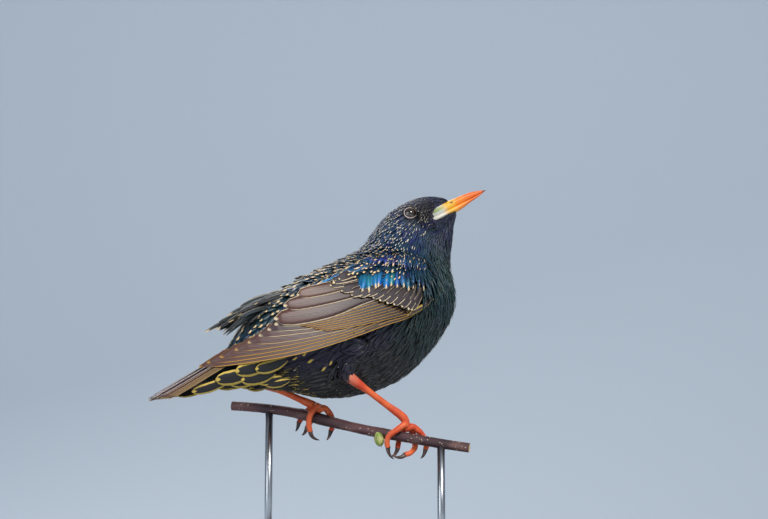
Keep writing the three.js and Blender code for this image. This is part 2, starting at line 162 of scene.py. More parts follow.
class Finish:
    def __init__(self, name, **constants):
        self.material = bpy.data.materials.new(name)
        self.material.use_nodes = True
        self.tree = self.material.node_tree
        self.shader = self.tree.nodes["Principled BSDF"]
        self.put(**constants)

    def node(self, kind, settings=None, out=0, **inputs):
        node = self.tree.nodes.new("ShaderNode" + kind)
        for key, value in (settings or {}).items():
            setattr(node, key, value)
        for key, value in inputs.items():
            plug(self.tree, value, node.inputs[key.replace("_", " ")])
        return Wire(self.tree, node.outputs[out])

    def mix(self, amount, a, b):
        node = self.tree.nodes.new("ShaderNodeMix")
        node.data_type = "RGBA"
        plug(self.tree, amount, node.inputs[0])
        plug(self.tree, a, node.inputs[6])
        plug(self.tree, b, node.inputs[7])
        return Wire(self.tree, node.outputs[2])

    def split(self, vector):
        node = self.tree.nodes.new("ShaderNodeSeparateXYZ")
        plug(self.tree, vector, node.inputs[0])
        return [Wire(self.tree, node.outputs[i]) for i in range(3)]

    def coords(self):
        return self.node("TexCoord", out=3)

    def noise(self, scale, detail=3.0, stretch=None):
        vector = self.coords()
        if stretch:
            vector = self.node("Mapping", Vector=vector, Scale=stretch)
        return self.node("TexNoise", Vector=vector, Scale=scale, Detail=detail)

    def attribute(self, name, out=0):
        return self.node("Attribute", {"attribute_name": name}, out=out)

    def put(self, **inputs):
        for key, value in inputs.items():
            plug(self.tree, value, self.shader.inputs[key.replace("_", " ")])
        return self.material

    def bump(self, height, distance, strength):
        self.put(Normal=self.node("Bump", Height=height, Distance=distance, Strength=strength))


# Mesh helpers
def addObject(name, data):
    item = bpy.data.objects.new(name, data)
    scene.collection.objects.link(item)
    return item


# Turns a bmesh in metres, or in millimetres with scale, into a mesh.
def bake(name, bm, scale=1.0, smooth=True):
    mesh = bpy.data.meshes.new(name)
    bmesh.ops.scale(bm, vec=(scale, scale, scale), verts=bm.verts[:])
    bm.to_mesh(mesh)
    bm.free()
    for polygon in mesh.polygons:
        polygon.use_smooth = smooth
    return mesh


# One closed skin from a mesh of parts that overlap.
def joined(mesh, voxel, smoothing, factor):
    helper = addObject("joinSource", mesh)
    remesh = helper.modifiers.new("join", "REMESH")
    remesh.mode = "VOXEL"
    remesh.voxel_size = voxel * mm
    soften = helper.modifiers.new("soften", "SMOOTH")
    soften.iterations = smoothing
    soften.factor = factor
    done = bpy.data.meshes.new_from_object(helper.evaluated_get(bpy.context.evaluated_depsgraph_get()))
    bpy.data.objects.remove(helper)
    for polygon in done.polygons:
        polygon.use_smooth = True
    return done


def addMesh(name, mesh, material, slot, replaced=()):
    piece = addObject(name, mesh)
    mesh.materials.clear()
    mesh.materials.append(material)
    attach(piece, "root")
    if replaced:
        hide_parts(*replaced)
    return piece


def addShape(name, bm, material, slot, replaced=(), smooth=True):
    bmesh.ops.recalc_face_normals(bm, faces=bm.faces[:])
    return addMesh(name, bake(name, bm, mm, smooth), material, slot, replaced)


# A tube made from a grid: the rule gives a point for distance along (0 to 1) and angle.
def wrapTube(bm, rings, sides, rule):
    made = bmesh.ops.create_grid(bm, x_segments=rings, y_segments=sides, size=0.5)["verts"]
    for vert in made:
        along = vert.co.x + 0.5
        angle = (vert.co.y + 0.5) * 2 * math.pi
        vert.co = rule(along, angle)
    bmesh.ops.remove_doubles(bm, verts=made, dist=0.0005)
    ends = [e for e in bm.edges if e.is_boundary]
    if ends:
        bmesh.ops.holes_fill(bm, edges=ends)


class Curve:
    def __init__(self, points, samples=160):
        points = np.asarray(points, float)
        padded = np.vstack([2 * points[0] - points[1], points, 2 * points[-1] - points[-2]])
        line = []
        for i in range(len(points) - 1):
            p = padded[i:i + 4]
            for t in np.linspace(0, 1, samples // (len(points) - 1), endpoint=False):
                line.append(0.5 * (2 * p[1] + (p[2] - p[0]) * t
                                   + (2 * p[0] - 5 * p[1] + 4 * p[2] - p[3]) * t * t
                                   + (3 * p[1] - p[0] - 3 * p[2] + p[3]) * t ** 3))
        self.line = np.array(line + [points[-1]])
        run = np.r_[0, np.cumsum(np.linalg.norm(np.diff(self.line, axis=0), axis=1))]
        self.length = run[-1]
        self.share = run / run[-1]

    def at(self, t):
        return np.stack([np.interp(t, self.share, c) for c in self.line.T], -1)

    def tangent(self, t, step=0.01):
        return unit(self.at(np.minimum(t + step, 1)) - self.at(np.maximum(t - step, 0)))


# Tube along a curve. The radius rule may differ round the section; up fixes where angle 0 lies.
def limb(bm, curve, radius, rings, sides, up):
    up = np.asarray(up, float)

    def rule(t, angle):
        way = curve.tangent(t)
        across = unit(np.cross(way, up))
        top = np.cross(across, way)
        r = radius(t, angle)
        return Vector(curve.at(t) + top * r * math.cos(angle) + across * r * math.sin(angle))

    wrapTube(bm, rings, sides, rule)

# Body rings: back s, z, front s, z, then feather length, width and spacing at back and front
bodyRings = [
    (43.2, 187.0, 45.9, 182.3, 1.6, 0.70, 0.55, 2.2, 0.60, 0.60),
    (38.2, 188.3, 44.9, 178.0, 2.4, 0.80, 0.65, 3.6, 0.70, 0.70),
    (32.8, 188.9, 43.9, 174.5, 3.0, 0.95, 0.75, 5.0, 0.75, 0.75),
    (26.5, 188.0, 43.7, 170.6, 3.8, 1.10, 0.85, 6.6, 0.85, 0.85),
    (19.2, 184.5, 43.4, 166.7, 4.6, 1.20, 0.95, 8.4, 0.95, 0.95),
    (11.9, 178.4, 42.7, 162.2, 5.2, 1.30, 1.05, 10.0, 1.00, 1.05),
    (6.2, 170.5, 42.1, 156.9, 6.0, 1.50, 1.20, 11.0, 1.10, 1.15),
    (0.5, 162.0, 42.4, 151.0, 7.0, 1.90, 1.50, 12.0, 1.20, 1.20),
    (-8.9, 155.9, 44.4, 143.2, 8.0, 2.40, 1.80, 12.5, 1.30, 1.25),
    (-18.7, 150.8, 44.2, 133.5, 8.5, 2.80, 2.00, 12.5, 1.35, 1.30),
    (-28.8, 144.9, 38.6, 121.3, 9.0, 3.00, 2.20, 12.5, 1.40, 1.40),
    (-37.0, 139.4, 29.0, 108.5, 9.5, 3.10, 2.30, 12.5, 1.50, 1.50),
    (-44.1, 133.6, 15.3, 96.9, 10.0, 3.20, 2.40, 12.5, 1.70, 1.60),
    (-49.5, 128.6, -1.7, 90.4, 10.5, 3.20, 2.40, 12.0, 2.00, 1.80),
    (-52.5, 124.6, -18.4, 88.5, 11.0, 3.20, 2.40, 12.0, 2.60, 2.20),
    (-55.6, 120.4, -30.3, 90.4, 12.0, 3.40, 2.60, 13.0, 3.60, 2.80),
    (-58.6, 114.8, -42.6, 91.6, 13.0, 3.80, 3.00, 15.5, 5.60, 3.80),
    (-63.0, 107.4, -53.6, 91.0, 11.0, 4.40, 3.40, 16.5, 6.60, 4.40),
    (-71.6, 95.6, -69.6, 90.4, 8.0, 4.60, 4.00, 12.0, 6.00, 4.60),
]
rings = np.array(bodyRings)


# Ring number, share from back to front and values of the rings for points on the sheet.
def ringPlace(s, z):
    back, front = rings[:, 0:2], rings[:, 2:4]
    span = front - back
    dx = s[:, None] - back[None, :, 0]
    dz = z[:, None] - back[None, :, 1]
    cross = span[None, :, 0] * dz - span[None, :, 1] * dx
    passed = cross > 0
    first = np.clip(passed.sum(1) if passed[:, 0].mean() > 0.5 else (~passed).sum(1), 1, len(rings) - 1) - 1
    a = np.take_along_axis(cross, first[:, None], 1)[:, 0] / np.linalg.norm(span[first], axis=1)
    b = np.take_along_axis(cross, first[:, None] + 1, 1)[:, 0] / np.linalg.norm(span[first + 1], axis=1)
    part = np.clip(a / np.where(abs(a - b) < 1e-9, 1, a - b), 0, 1)
    row = rings[first] * (1 - part[:, None]) + rings[first + 1] * part[:, None]
    way = row[:, 2:4] - row[:, 0:2]
    share = ((s - row[:, 0]) * way[:, 0] + (z - row[:, 1]) * way[:, 1]) / (way ** 2).sum(1)
    return first + part, np.clip(share, 0, 1), row


# The lie of the coat on the sheet: from one ring to the next at the same share.
def flowAt(ring, share):
    i = np.clip(np.floor(ring).astype(int), 0, len(rings) - 2)
    back = unit(rings[i + 1, 0:2] - rings[i, 0:2])
    front = unit(rings[i + 1, 2:4] - rings[i, 2:4])
    return lerp(back, front, share[:, None])

# Skin: the flesh solids joined, closed over and drawn in by the depth of the coat
skinLook = {"voxel": 0.8, "swell": 0.22, "headDepth": 0.7, "bodyDepth": 2.0, "ventDepth": 1.2, "smoothing": 6,
            "billPlug": ((39.4, 0.0, 182.4), (5.6, 3.7, 3.4)),
            "socket": ((21.4, 6.2, 178.6), (4.4, 3.168, 4.4))}
fleshNodes = ["head", "neck", "trunk", "tibia_right", "tibia_left"]
wingNodes = {side: [f"wing_{side}_{part}" for part in ("coverts", "secondaries", "primaries")]
             for side, _ in bothSides}


# The named solids with a plug at the bill and a ball in each eye socket, closed over.
def closedForm(names, voxel, smoothing):
    bm = bmesh.new()
    for nodeName in names:
        bm.from_mesh(nodes[nodeName].data)
    bmesh.ops.remove_doubles(bm, verts=bm.verts[:], dist=1e-6)
    bmesh.ops.recalc_face_normals(bm, faces=bm.faces[:])
    bm.normal_update()
    for vert in bm.verts:
        vert.co += vert.normal * skinLook["swell"] * mm
    (s, side, z), socketSize = skinLook["socket"]
    for middle, size in (skinLook["billPlug"], ((s, side, z), socketSize), ((s, -side, z), socketSize)):
        made = bmesh.ops.create_icosphere(bm, subdivisions=3, radius=1.0)["verts"]
        bmesh.ops.scale(bm, vec=Vector(size) * mm, verts=made)
        bmesh.ops.translate(bm, vec=place(*middle) * mm, verts=made)
    return joined(bake("flesh", bm), voxel, smoothing, 0.6)

# The face narrows to the bill: widest half width allowed at a place along and off the mouth line.
mouth = {"gape": (31.9, 178.0), "way": (0.893, 0.45), "runs": (-7, 0, 8, 14, 24),
         "halves": (9.5, 3.5, 2.7, 1.8, 0.6)}


def faceHalf(s, z):
    ds, dz = s - mouth["gape"][0], z - mouth["gape"][1]
    along = ds * mouth["way"][0] + dz * mouth["way"][1]
    off = abs(dz * mouth["way"][0] - ds * mouth["way"][1])
    limit = np.interp(along, mouth["runs"], mouth["halves"]) + 0.9 * np.maximum(0, off - 3.0)
    return np.where(along < mouth["runs"][0], np.inf, limit)


# Draws a form in by the depth of the coat and narrows its face.
def drawIn(mesh, part, smoothing):
    points = readVerts(mesh) / mm
    s, _, z = toSheet(points)
    points = points - readVerts(mesh, "normal") * (coatDepth(ringPlace(s, z)[0]) * part)[:, None]
    s, side, z = toSheet(points)
    limit = faceHalf(s, z)
    side = np.sign(side) * np.minimum(abs(side), limit)
    points = np.where(np.isfinite(limit)[:, None], place(s, side, z), points)
    mesh.vertices.foreach_set("co", (points * mm).ravel())
    bm = bmesh.new()
    bm.from_mesh(mesh)
    for _ in range(smoothing):
        bmesh.ops.smooth_vert(bm, verts=bm.verts[:], factor=0.5, use_axis_x=True, use_axis_y=True,
                              use_axis_z=True)
    bm.to_mesh(mesh)
    bm.free()
    mesh.update()


def coatDepth(ring):
    body = lerp(skinLook["headDepth"], skinLook["bodyDepth"], smoothStep(ring, 1.5, 8))
    return lerp(body, skinLook["ventDepth"], smoothStep(ring, 15, 17.5)) + skinLook["swell"]


skinMesh = closedForm(fleshNodes, skinLook["voxel"], skinLook["smoothing"])
drawIn(skinMesh, 1.0, 3)

skinFinish = Finish("skinDark", Roughness=0.7)
skinTone = skinFinish.attribute("tint")
skinColour = skinFinish.mix(skinFinish.noise(220.0) * 0.5, skinTone, "#08090d")
skin = addMesh("skin", skinMesh, skinFinish.put(Base_Color=skinColour), "plumage", fleshNodes)

# The skin's own unwrap. Each feather takes its place on it from its root.
bpy.context.view_layer.objects.active = skin
skin.select_set(True)
skinMesh.uv_layers.new(name="OFBake")
bpy.ops.object.mode_set(mode="EDIT")
bpy.ops.mesh.select_all(action="SELECT")
bpy.ops.uv.smart_project(angle_limit=math.radians(66), island_margin=0.004)
bpy.ops.object.mode_set(mode="OBJECT")
skin.select_set(False)
skinTree = BVHTree.FromObject(skin, bpy.context.evaluated_depsgraph_get())
skinUv = np.empty(len(skinMesh.loops) * 2)
skinMesh.uv_layers["OFBake"].data.foreach_get("uv", skinUv)
skinUv = skinUv.reshape(-1, 2)
print("skin", len(skinMesh.polygons), "faces")


def placeOnUnwrap(roots):
    found = np.empty((len(roots), 2))
    for i, root in enumerate(roots):
        spot, _, index, _ = skinTree.find_nearest(Vector(root * mm))
        polygon = skinMesh.polygons[index]
        weights = []
        for v in polygon.vertices:
            weights.append(1 / ((skinMesh.vertices[v].co - spot).length_squared + 1e-10))
        loops = list(polygon.loop_indices)
        found[i] = np.average(skinUv[loops], axis=0, weights=weights)
    return found

# The form that feathers lie on: flesh and wings together
formMesh = closedForm(fleshNodes + wingNodes["right"] + wingNodes["left"] + ["tail"], 0.9, 10)
drawIn(formMesh, 0.5, 4)
formTree = BVHTree.FromPolygons([v.co.copy() for v in formMesh.vertices],
                                [tuple(p.vertices) for p in formMesh.polygons])
formNormals = readVerts(formMesh, "normal")


def onForm(point):
    spot, normal, index, _ = formTree.find_nearest(Vector(point * mm))
    polygon = formMesh.polygons[index]
    return np.array(spot) / mm, unit(formNormals[list(polygon.vertices)].mean(0))


# Vanes
class Vane:
    def __init__(self, across, rows):
        bm = bmesh.new()
        bmesh.ops.create_grid(bm, x_segments=across, y_segments=rows, size=1)
        bmesh.ops.solidify(bm, geom=bm.faces[:], thickness=0.1)
        bmesh.ops.recalc_face_normals(bm, faces=bm.faces[:])
        bm.verts.ensure_lookup_table()
        self.across = np.array([v.co.x for v in bm.verts])
        self.along = np.array([(v.co.y + 1) / 2 for v in bm.verts])
        height = np.array([v.co.z for v in bm.verts])
        self.top = height > (height.max() + height.min()) / 2
        self.row = np.rint(self.along * rows).astype(int)
        self.rows = rows
        self.loops = np.array([v.index for f in bm.faces for v in f.verts])
        self.mirrored = np.array([v.index for f in bm.faces for v in reversed(f.verts[:])])
        self.sizes = np.array([len(f.verts) for f in bm.faces])
        bm.free()


# Outlines of a vane: half width as a share of the widest, at places from root to tip.
vaneOutlines = {
    "round": ([0, 0.08, 0.3, 0.6, 0.82, 0.93, 1], [0.25, 0.55, 0.9, 1.0, 0.86, 0.55, 0.08]),
    "pointed": ([0, 0.1, 0.35, 0.6, 0.8, 0.92, 1], [0.3, 0.65, 1.0, 0.9, 0.6, 0.3, 0.04]),
    "hackle": ([0, 0.15, 0.4, 0.6, 0.8, 0.92, 1], [0.4, 0.85, 1.0, 0.78, 0.48, 0.25, 0.03]),
    "blade": ([0, 0.06, 0.3, 0.7, 0.9, 0.965, 1], [0.3, 0.6, 0.85, 1.0, 0.88, 0.55, 0.06]),
    "oar": ([0, 0.06, 0.3, 0.7, 0.88, 0.95, 0.985, 1], [0.3, 0.6, 0.85, 1.0, 0.96, 0.76, 0.45, 0.1]),
    "spear": ([0, 0.06, 0.3, 0.6, 0.85, 0.95, 1], [0.3, 0.6, 0.95, 0.95, 0.6, 0.32, 0.05]),
}


class Plumage:
    def __init__(self, name, material, slot, replaced=()):
        self.name, self.material, self.slot, self.replaced = name, material, slot, replaced
        self.parts = []

    # lines and normals: feathers x rows x 3. tint, edge: feathers x 3. marks: feathers x 4.
    def add(self, vane, lines, normals, width, outline, tint, edge, marks, thick=0.09, cup=0.12):
        count = len(lines)
        if not count:
            return
        sides = unit(np.cross(unit(np.gradient(lines, axis=1)), normals))
        row = vane.row
        shape = np.interp(vane.along, *vaneOutlines[outline])
        width = np.broadcast_to(np.asarray(width, float), (count,))
        across = vane.across[None, :] * shape[None, :] * width[:, None] / 2
        hollow = cup * width[:, None] * (vane.across ** 2 * shape)[None, :]
        lift = np.where(vane.top, thick, 0.0)[None, :] - hollow
        points = lines[:, row] + sides[:, row] * across[:, :, None] + normals[:, row] * lift[:, :, None]
        uv = placeOnUnwrap(lines[:, 0])
        self.parts.append((vane, points, uv, np.broadcast_to(tint, (count, 3)),
                           np.broadcast_to(edge, (count, 3)), np.broadcast_to(marks, (count, 4)), False))

    # One vane from a single centre line with its normals.
    def addOne(self, vane, line, normals, width, outline, tint, edge, marks, **options):
        self.add(vane, line[None], normals[None], width, outline, tint[None], edge[None], np.array([marks]),
                 **options)

    def build(self):
        points, loops, sizes, vaneUv, bakeUv = [], [], [], [], []
        colours = {"tint": [], "edge": [], "marks": []}
        base = 0
        for vane, where, uv, tint, edge, marks, mirror in self.parts:
            count, each = where.shape[:2]
            points.append(where.reshape(-1, 3))
            corners = vane.mirrored if mirror else vane.loops
            offset = base + np.arange(count)[:, None] * each
            loops.append((offset + corners[None, :]).ravel())
            sizes.append(np.tile(vane.sizes, count))
            u = (vane.across[corners] + 1) / 2
            v = vane.along[corners]
            vaneUv.append(np.tile(np.stack([u, v], -1), (count, 1)))
            patch = (np.stack([u, v], -1) - 0.5) * 0.003
            bakeUv.append((uv[:, None, :] + patch[None, :, :]).reshape(-1, 2))
            for key, value in (("tint", tint), ("edge", edge)):
                full = np.concatenate([value, np.ones((count, 1))], 1)
                colours[key].append(np.repeat(full, each, 0))
            colours["marks"].append(np.repeat(marks, each, 0))
            base += count * each
        points = np.concatenate(points) * mm
        loops = np.concatenate(loops)
        sizes = np.concatenate(sizes)
        mesh = bpy.data.meshes.new(self.name)
        mesh.vertices.add(len(points))
        mesh.vertices.foreach_set("co", points.ravel())
        mesh.loops.add(len(loops))
        mesh.loops.foreach_set("vertex_index", loops.astype(np.int32))
        mesh.polygons.add(len(sizes))
        starts = np.r_[0, np.cumsum(sizes)[:-1]]
        mesh.polygons.foreach_set("loop_start", starts.astype(np.int32))
        mesh.polygons.foreach_set("use_smooth", np.ones(len(sizes), bool))
        mesh.update(calc_edges=True)
        for key, stack in (("OFBake", bakeUv), ("vane", vaneUv)):
            layer = mesh.uv_layers.new(name=key)
            layer.data.foreach_set("uv", np.concatenate(stack).ravel())
        for key, stack in colours.items():
            layer = mesh.attributes.new(key, "FLOAT_COLOR", "POINT")
            layer.data.foreach_set("color", np.concatenate(stack).ravel())
        mesh.validate()
        piece = addMesh(self.name, mesh, self.material, self.slot, self.replaced)
        print(self.name, int((sizes - 2).sum()), "triangles")
        return piece


# One finish for all vanes. Tint, pale edge or tip, rachis, barbs and gloss are read from the vane itself.
def vaneFinish(name, gloss, roughness, hueSpread, shine, paintedSheen=0.0, frayed=0.08):
    finish = Finish(name, IOR=1.5)
    across, along, _ = finish.split(finish.node("UVMap", {"uv_map": "vane"}))
    tint = finish.attribute("tint")
    edge = finish.attribute("edge")
    marks = finish.attribute("marks")
    tip, outer, chance = finish.split(marks)
    inner = finish.attribute("marks", out=3)
    fromMiddle = (across - 0.5).op("ABSOLUTE") * 2.0
    ragged = (finish.noise(900.0, 2.0) - 0.5) * frayed
    toTip = (1.0 - along) + fromMiddle * tip * 0.9 + ragged
    tipMask = 1.0 - toTip.step(tip * 0.82, tip + 0.015)
    outerMask = (across + ragged).step(1.0 - outer, 1.03 - outer)
    innerMask = 1.0 - (across + ragged).step(inner - 0.03, inner)
    mask = tipMask.op("MAXIMUM", outerMask.op("MAXIMUM", innerMask)).op("MINIMUM", 1.0)
    barbs = (along * 95.0 - fromMiddle * 26.0).op("SINE") * 0.5 + 0.5
    rachis = 1.0 - fromMiddle.step(0.03, 0.10)
    drift = finish.noise(130.0, 3.0)
    hue = (drift - 0.5) * hueSpread + (chance - 0.5) * hueSpread * 0.6 + 0.5
    value = (0.78 + barbs * 0.22 + (chance - 0.5) * 0.5) * (0.4 + along.step(0.15, 0.75) * 0.65)
    # Towards the tip the colour is lightened by paintedSheen: a painted sheen highlight.
    value = value * (1.0 + along.step(0.62, 0.92) * paintedSheen)
    turned = finish.node("HueSaturation", Hue=hue, Saturation=1.05, Value=value, Color=tint)
    dark = finish.mix(rachis * 0.55, turned, "#0a090b")
    colour = finish.mix(mask, dark, finish.mix(barbs * 0.18, edge, "#5a4630"))
    plain = 1.0 - mask
    finish.put(Base_Color=colour, Metallic=plain * gloss, Roughness=roughness + mask * 0.25 + barbs * 0.06)
    finish.put(Coat_Weight=plain * shine)
    finish.put(Coat_Roughness=0.3)
    finish.bump(barbs * 0.6 + (1.0 - rachis) * 0.4, 0.00006, 0.6)
    return finish.material


glossyVane = vaneFinish("glossyVane", 0.4, 0.4, 0.11, 0.15)
duskVane = vaneFinish("duskVane", 0.1, 0.55, 0.06, 0.03)
# Brown vanes get a painted sheen highlight near their tips.
brownVane = vaneFinish("brownVane", 0.0, 0.45, 0.04, 0.12, paintedSheen=0.4, frayed=0.02)

tones = {key: np.array(linear(code)) for key, code in {
    "headBlue": "#1d2a4a", "headPurple": "#231e3c", "throatGreen": "#123338", "neckBlue": "#173a58",
    "breastGreen": "#0e2729", "mantleBlue": "#132f3e", "bellyBlack": "#101114", "flankPurple": "#1d1930",
    "rumpTeal": "#11303a", "undertail": "#0f0e10", "buff": "#e6c796", "speck": "#d9ccb8", "white": "#d9d6cc",
    "yellow": "#c2a54a", "covertBlue": "#2267a0", "covertTeal": "#1c748c", "covertPurple": "#2c2b57",
    "brown": "#482a21", "darkBrown": "#2c1e24", "gold": "#c3913f", "rim": "#dcc6a2", "violetBrown": "#2f1e26",
    "tailBrown": "#40292a", "underTail": "#473528", "rimGold": "#a98a55"}.items()}


def blend(first, second, share):
    return lerp(tones[first], tones[second], share)


def blendTones(*pairs):
    total = sum(weight for weight, _ in pairs)
    return sum(weight[:, None] * tones[key][None, :] for weight, key in pairs) / total[:, None]


# Colour of skin and coat by ring and by share from back to front.
def zoneTint(ring, share, s, z):
    t = np.clip(((s - 23) * 10 + (z - 179.5) * 3) / 109, 0, 1)
    lores = 1 - smoothStep(np.hypot(s - 23 - 10 * t, z - 179.5 - 3 * t), 1.5, 5.0)
    head = 1 - smoothStep(ring, 3.5, 6)
    neck = smoothStep(ring, 3, 5.5) * (1 - smoothStep(ring, 7.5, 9.5))
    trunk = smoothStep(ring, 7.5, 9.5)
    rear = smoothStep(ring, 14.0, 15.5)
    below = smoothStep(ring, 9.5, 11.5)
    low = smoothStep(share, 0.5, 0.8)
    high = 1 - smoothStep(share, 0.25, 0.5)
    return blendTones(
        (lores * 4.0, "undertail"), (head * 0.6 + 0.001, "headBlue"),
        (head * (0.3 + 0.5 * low), "headPurple"),
        (neck * (1 - low) * 0.9, "neckBlue"), (neck * low * 1.2 + head * low * 0.3, "throatGreen"),
        (trunk * high * (1 - rear), "mantleBlue"), (trunk * (1 - high) * (1 - below), "breastGreen"),
        (trunk * (1 - high) * below * (1 - rear) * low, "bellyBlack"),
        (trunk * (1 - high) * below * (1 - rear) * (1 - low) * 1.4, "flankPurple"),
        (rear * high, "rumpTeal"), (rear * (1 - high) * 2.0, "undertail"))


skinS, _, skinZ = toSheet(readVerts(skinMesh) / mm)
skinRing, skinShare, _ = ringPlace(skinS, skinZ)
skinTint = zoneTint(skinRing, skinShare, skinS, skinZ) * 0.5
skinLayer = skinMesh.attributes.new("tint", "FLOAT_COLOR", "POINT")
skinLayer.data.foreach_set("color", np.c_[skinTint, np.ones(len(skinS))].ravel())

# Contour feathers, spread over the form with spacing from the body rings
coatLook = {"tries": 240000, "jitter": 0.10, "rows": 6, "lift": 0.35, "cell": 5.0, "eye": (21.4, 178.5),
            "eyeGap": 3.15, "thick": 0.06, "thighLength": 5.5, "thighWidth": 1.5}


# Even random points over the form.
def scatterRoots():
    formMesh.calc_loop_triangles()
    corners = np.array([t.vertices[:] for t in formMesh.loop_triangles])
    points = readVerts(formMesh) / mm
    a, b, c = (points[corners[:, i]] for i in range(3))
    area = np.linalg.norm(np.cross(b - a, c - a), axis=1)
    pick = rng.choice(len(corners), coatLook["tries"], p=area / area.sum())
    u, v = rng.random(len(pick)), rng.random(len(pick))
    over = u + v > 1
    u[over], v[over] = 1 - u[over], 1 - v[over]
    return a[pick] + (b - a)[pick] * u[:, None] + (c - a)[pick] * v[:, None]


wingCrest = np.array([(-78, 102), (-62.3, 111.2), (-47.4, 123.4), (-41, 132.2), (-30.7, 138.6),
                      (-19.2, 144.7), (-7.3, 151.7), (9.4, 155.9), (28.6, 152.6), (34, 146)]).T

# Side of the wing's outer face over the sheet: a cubic in s and z, fitted to the near wing's nodes.
wingFit = {"middle": (-20.0, 125.0), "scale": (50.0, 25.0),
           "terms": (26.13, 10.79, -5.69, -9.82, 2.76, -2.55, -5.39, 10.33, -4.08, -0.91)}


def wingSide(s, z):
    a = (s - wingFit["middle"][0]) / wingFit["scale"][0]
    b = (z - wingFit["middle"][1]) / wingFit["scale"][1]
    basis = (1 + 0 * a, a, b, a * a, a * b, b * b, a ** 3, a * a * b, a * b * b, b ** 3)
    return sum(c * t for c, t in zip(wingFit["terms"], basis))

# Parts of the wing that carry their own feathers, as outlines on the sheet.
wingOutline = np.array([(28, 136), (27, 147), (20, 148), (-2, 149), (-14, 145.5), (-26, 140.5), (-38, 133.5),
                        (-47, 125), (-58, 115), (-80, 103), (-80, 96), (-60, 100.5), (-30, 110), (0, 121),
                        (18, 127.5), (25, 131)])


# Which points of the sheet lie inside an outline.
def inside(outline, s, z):
    hit = np.zeros(len(s), bool)
    for (x1, z1), (x2, z2) in zip(outline, np.roll(outline, -1, axis=0)):
        spans = (z1 > z) != (z2 > z)
        with np.errstate(divide="ignore", invalid="ignore"):
            reach = (x2 - x1) * (z - z1) / (z2 - z1) + x1
        hit ^= spans & (s < reach)
    return hit


candidates = scatterRoots()
cs, cside, cz = toSheet(candidates)
cRing, cShare, cRow = ringPlace(cs, cz)
spacing = lerp(cRow[:, 6], cRow[:, 9], cShare) * lerp(0.86, 1.0, smoothStep(cRing, 6, 9))
spacing *= 1 - 0.2 * smoothStep(cRing, 11, 12.5) * smoothStep(cShare, 0.4, 0.6)
outerFace = wingSide(cs, np.minimum(cz, np.interp(cs, *wingCrest)))
innerFace = outerFace - lerp(3.2, 6.0, smoothStep(-cs, 20, 42)) - 1.0 * (cside < 0)
innerFace = lerp(np.maximum(4.5, innerFace), 4.5, smoothStep(-cs, 50, 56))
onWing = inside(wingOutline, cs, cz) & (abs(cside) > innerFace)
eyeGap = np.hypot(cs - coatLook["eye"][0], cz - coatLook["eye"][1] - 0.1) < 3.05
billOutline = [(32.4, 178.5), (34.8, 181.6), (36.8, 183.2), (40.2, 185.2), (44.8, 187.8), (62, 196),
               (66, 190), (47.6, 182.6), (43.1, 180.8), (40.2, 179.2), (35.8, 176.6), (36.6, 178.6)]
billGap = inside(billOutline, cs, cz)
tailGap = (cRing > 16.9) | ((cRing > 15.9) & (cShare > 0.3))
free = ~(onWing | eyeGap | billGap | tailGap)
around = list(itertools.product((-1, 0, 1), repeat=3))
grid = {}
kept = []
for i in np.flatnonzero(free):
    spot, need = candidates[i], spacing[i] ** 2
    x, y, z = (int(v) for v in spot // coatLook["cell"])
    near = (candidates[j] - spot for dx, dy, dz in around for j in grid.get((x + dx, y + dy, z + dz), ()))
    if all(away[0] ** 2 + away[1] ** 2 + away[2] ** 2 >= need for away in near):
        grid.setdefault((x, y, z), []).append(i)
        kept.append(i)
kept = np.array(kept)
print("contour feathers", len(kept))


# Centre lines that walk over the form along the lie of the coat, rising towards the tip.
def drape(roots, ways, length, rows, lift):
    lines = np.empty((len(roots), rows + 1, 3))
    normals = np.empty_like(lines)
    for i in range(len(roots)):
        point, normal = onForm(roots[i])
        way = ways[i]
        for k in range(rows + 1):
            way = unit(way - normal * (way @ normal))
            lines[i, k] = point + normal * (lift[i] * (k / rows) ** 1.2 + 0.1)
            normals[i, k] = normal
            if k < rows:
                point, normal = onForm(point + way * length[i] / rows)
    return lines, normals


ring, share, row = cRing[kept], cShare[kept], cRow[kept]
ks, kside, kz = cs[kept], cside[kept], cz[kept]
length = lerp(row[:, 4], row[:, 7], share) * rng.uniform(0.88, 1.12, len(kept))
width = lerp(row[:, 5], row[:, 8], share) * lerp(1.2, 1.45, smoothStep(ring, 4, 9))
width = width * rng.uniform(0.85, 1.1, len(kept))
lift = coatLook["lift"] + lerp(0.25, 0.9, smoothStep(ring, 1, 6)) * rng.uniform(0.5, 1.3, len(kept))
beard = smoothStep(share, 0.8, 1.0) * smoothStep(ring, 3, 5) * (1 - smoothStep(ring, 8, 10))
lift += 0.8 * beard * rng.random(len(kept))
lift *= lerp(1.0, 0.6, smoothStep(ring, 10.5, 12))
lift *= lerp(0.45, 1.0, np.maximum(smoothStep(ring, 2.5, 4.5), smoothStep(share, 0.2, 0.4)))
swerve = rng.normal(0, coatLook["jitter"], len(kept))
flow = flowAt(ring, share)
toEye = np.stack([coatLook["eye"][0] - ks, coatLook["eye"][1] - kz], -1)
ahead = (toEye * flow).sum(1)
beside = abs(toEye[:, 0] * flow[:, 1] - toEye[:, 1] * flow[:, 0])
chord = np.sqrt(np.maximum(0, coatLook["eyeGap"] ** 2 - beside ** 2))
blocked = (beside < coatLook["eyeGap"]) & (ahead > 0)
length = np.where(blocked, np.clip(ahead - chord, 0.7, length), length)
tint = zoneTint(ring, share, ks, kz)
chance = rng.random(len(kept))
spotted = (ring > 6.2) & (share < 0.42) & (chance < 0.85)
tip = np.where(spotted, rng.uniform(0.18, 0.3, len(kept)), 0.0)
speckChance = lerp(0.55, 0.14, smoothStep(share, 0.28, 0.5))
specks = (ring > 1.8) & (ring < 6.5) & (share < 0.62) & (chance < speckChance)
speckTip = lerp(0.14, 0.3, smoothStep(ring, 2.5, 4.5))
tip = np.where(specks, speckTip * rng.uniform(0.7, 1.15, len(kept)), tip)
dashes = (ring > 11) & (ring < 14.5) & (share > 0.55) & (chance < 0.07)
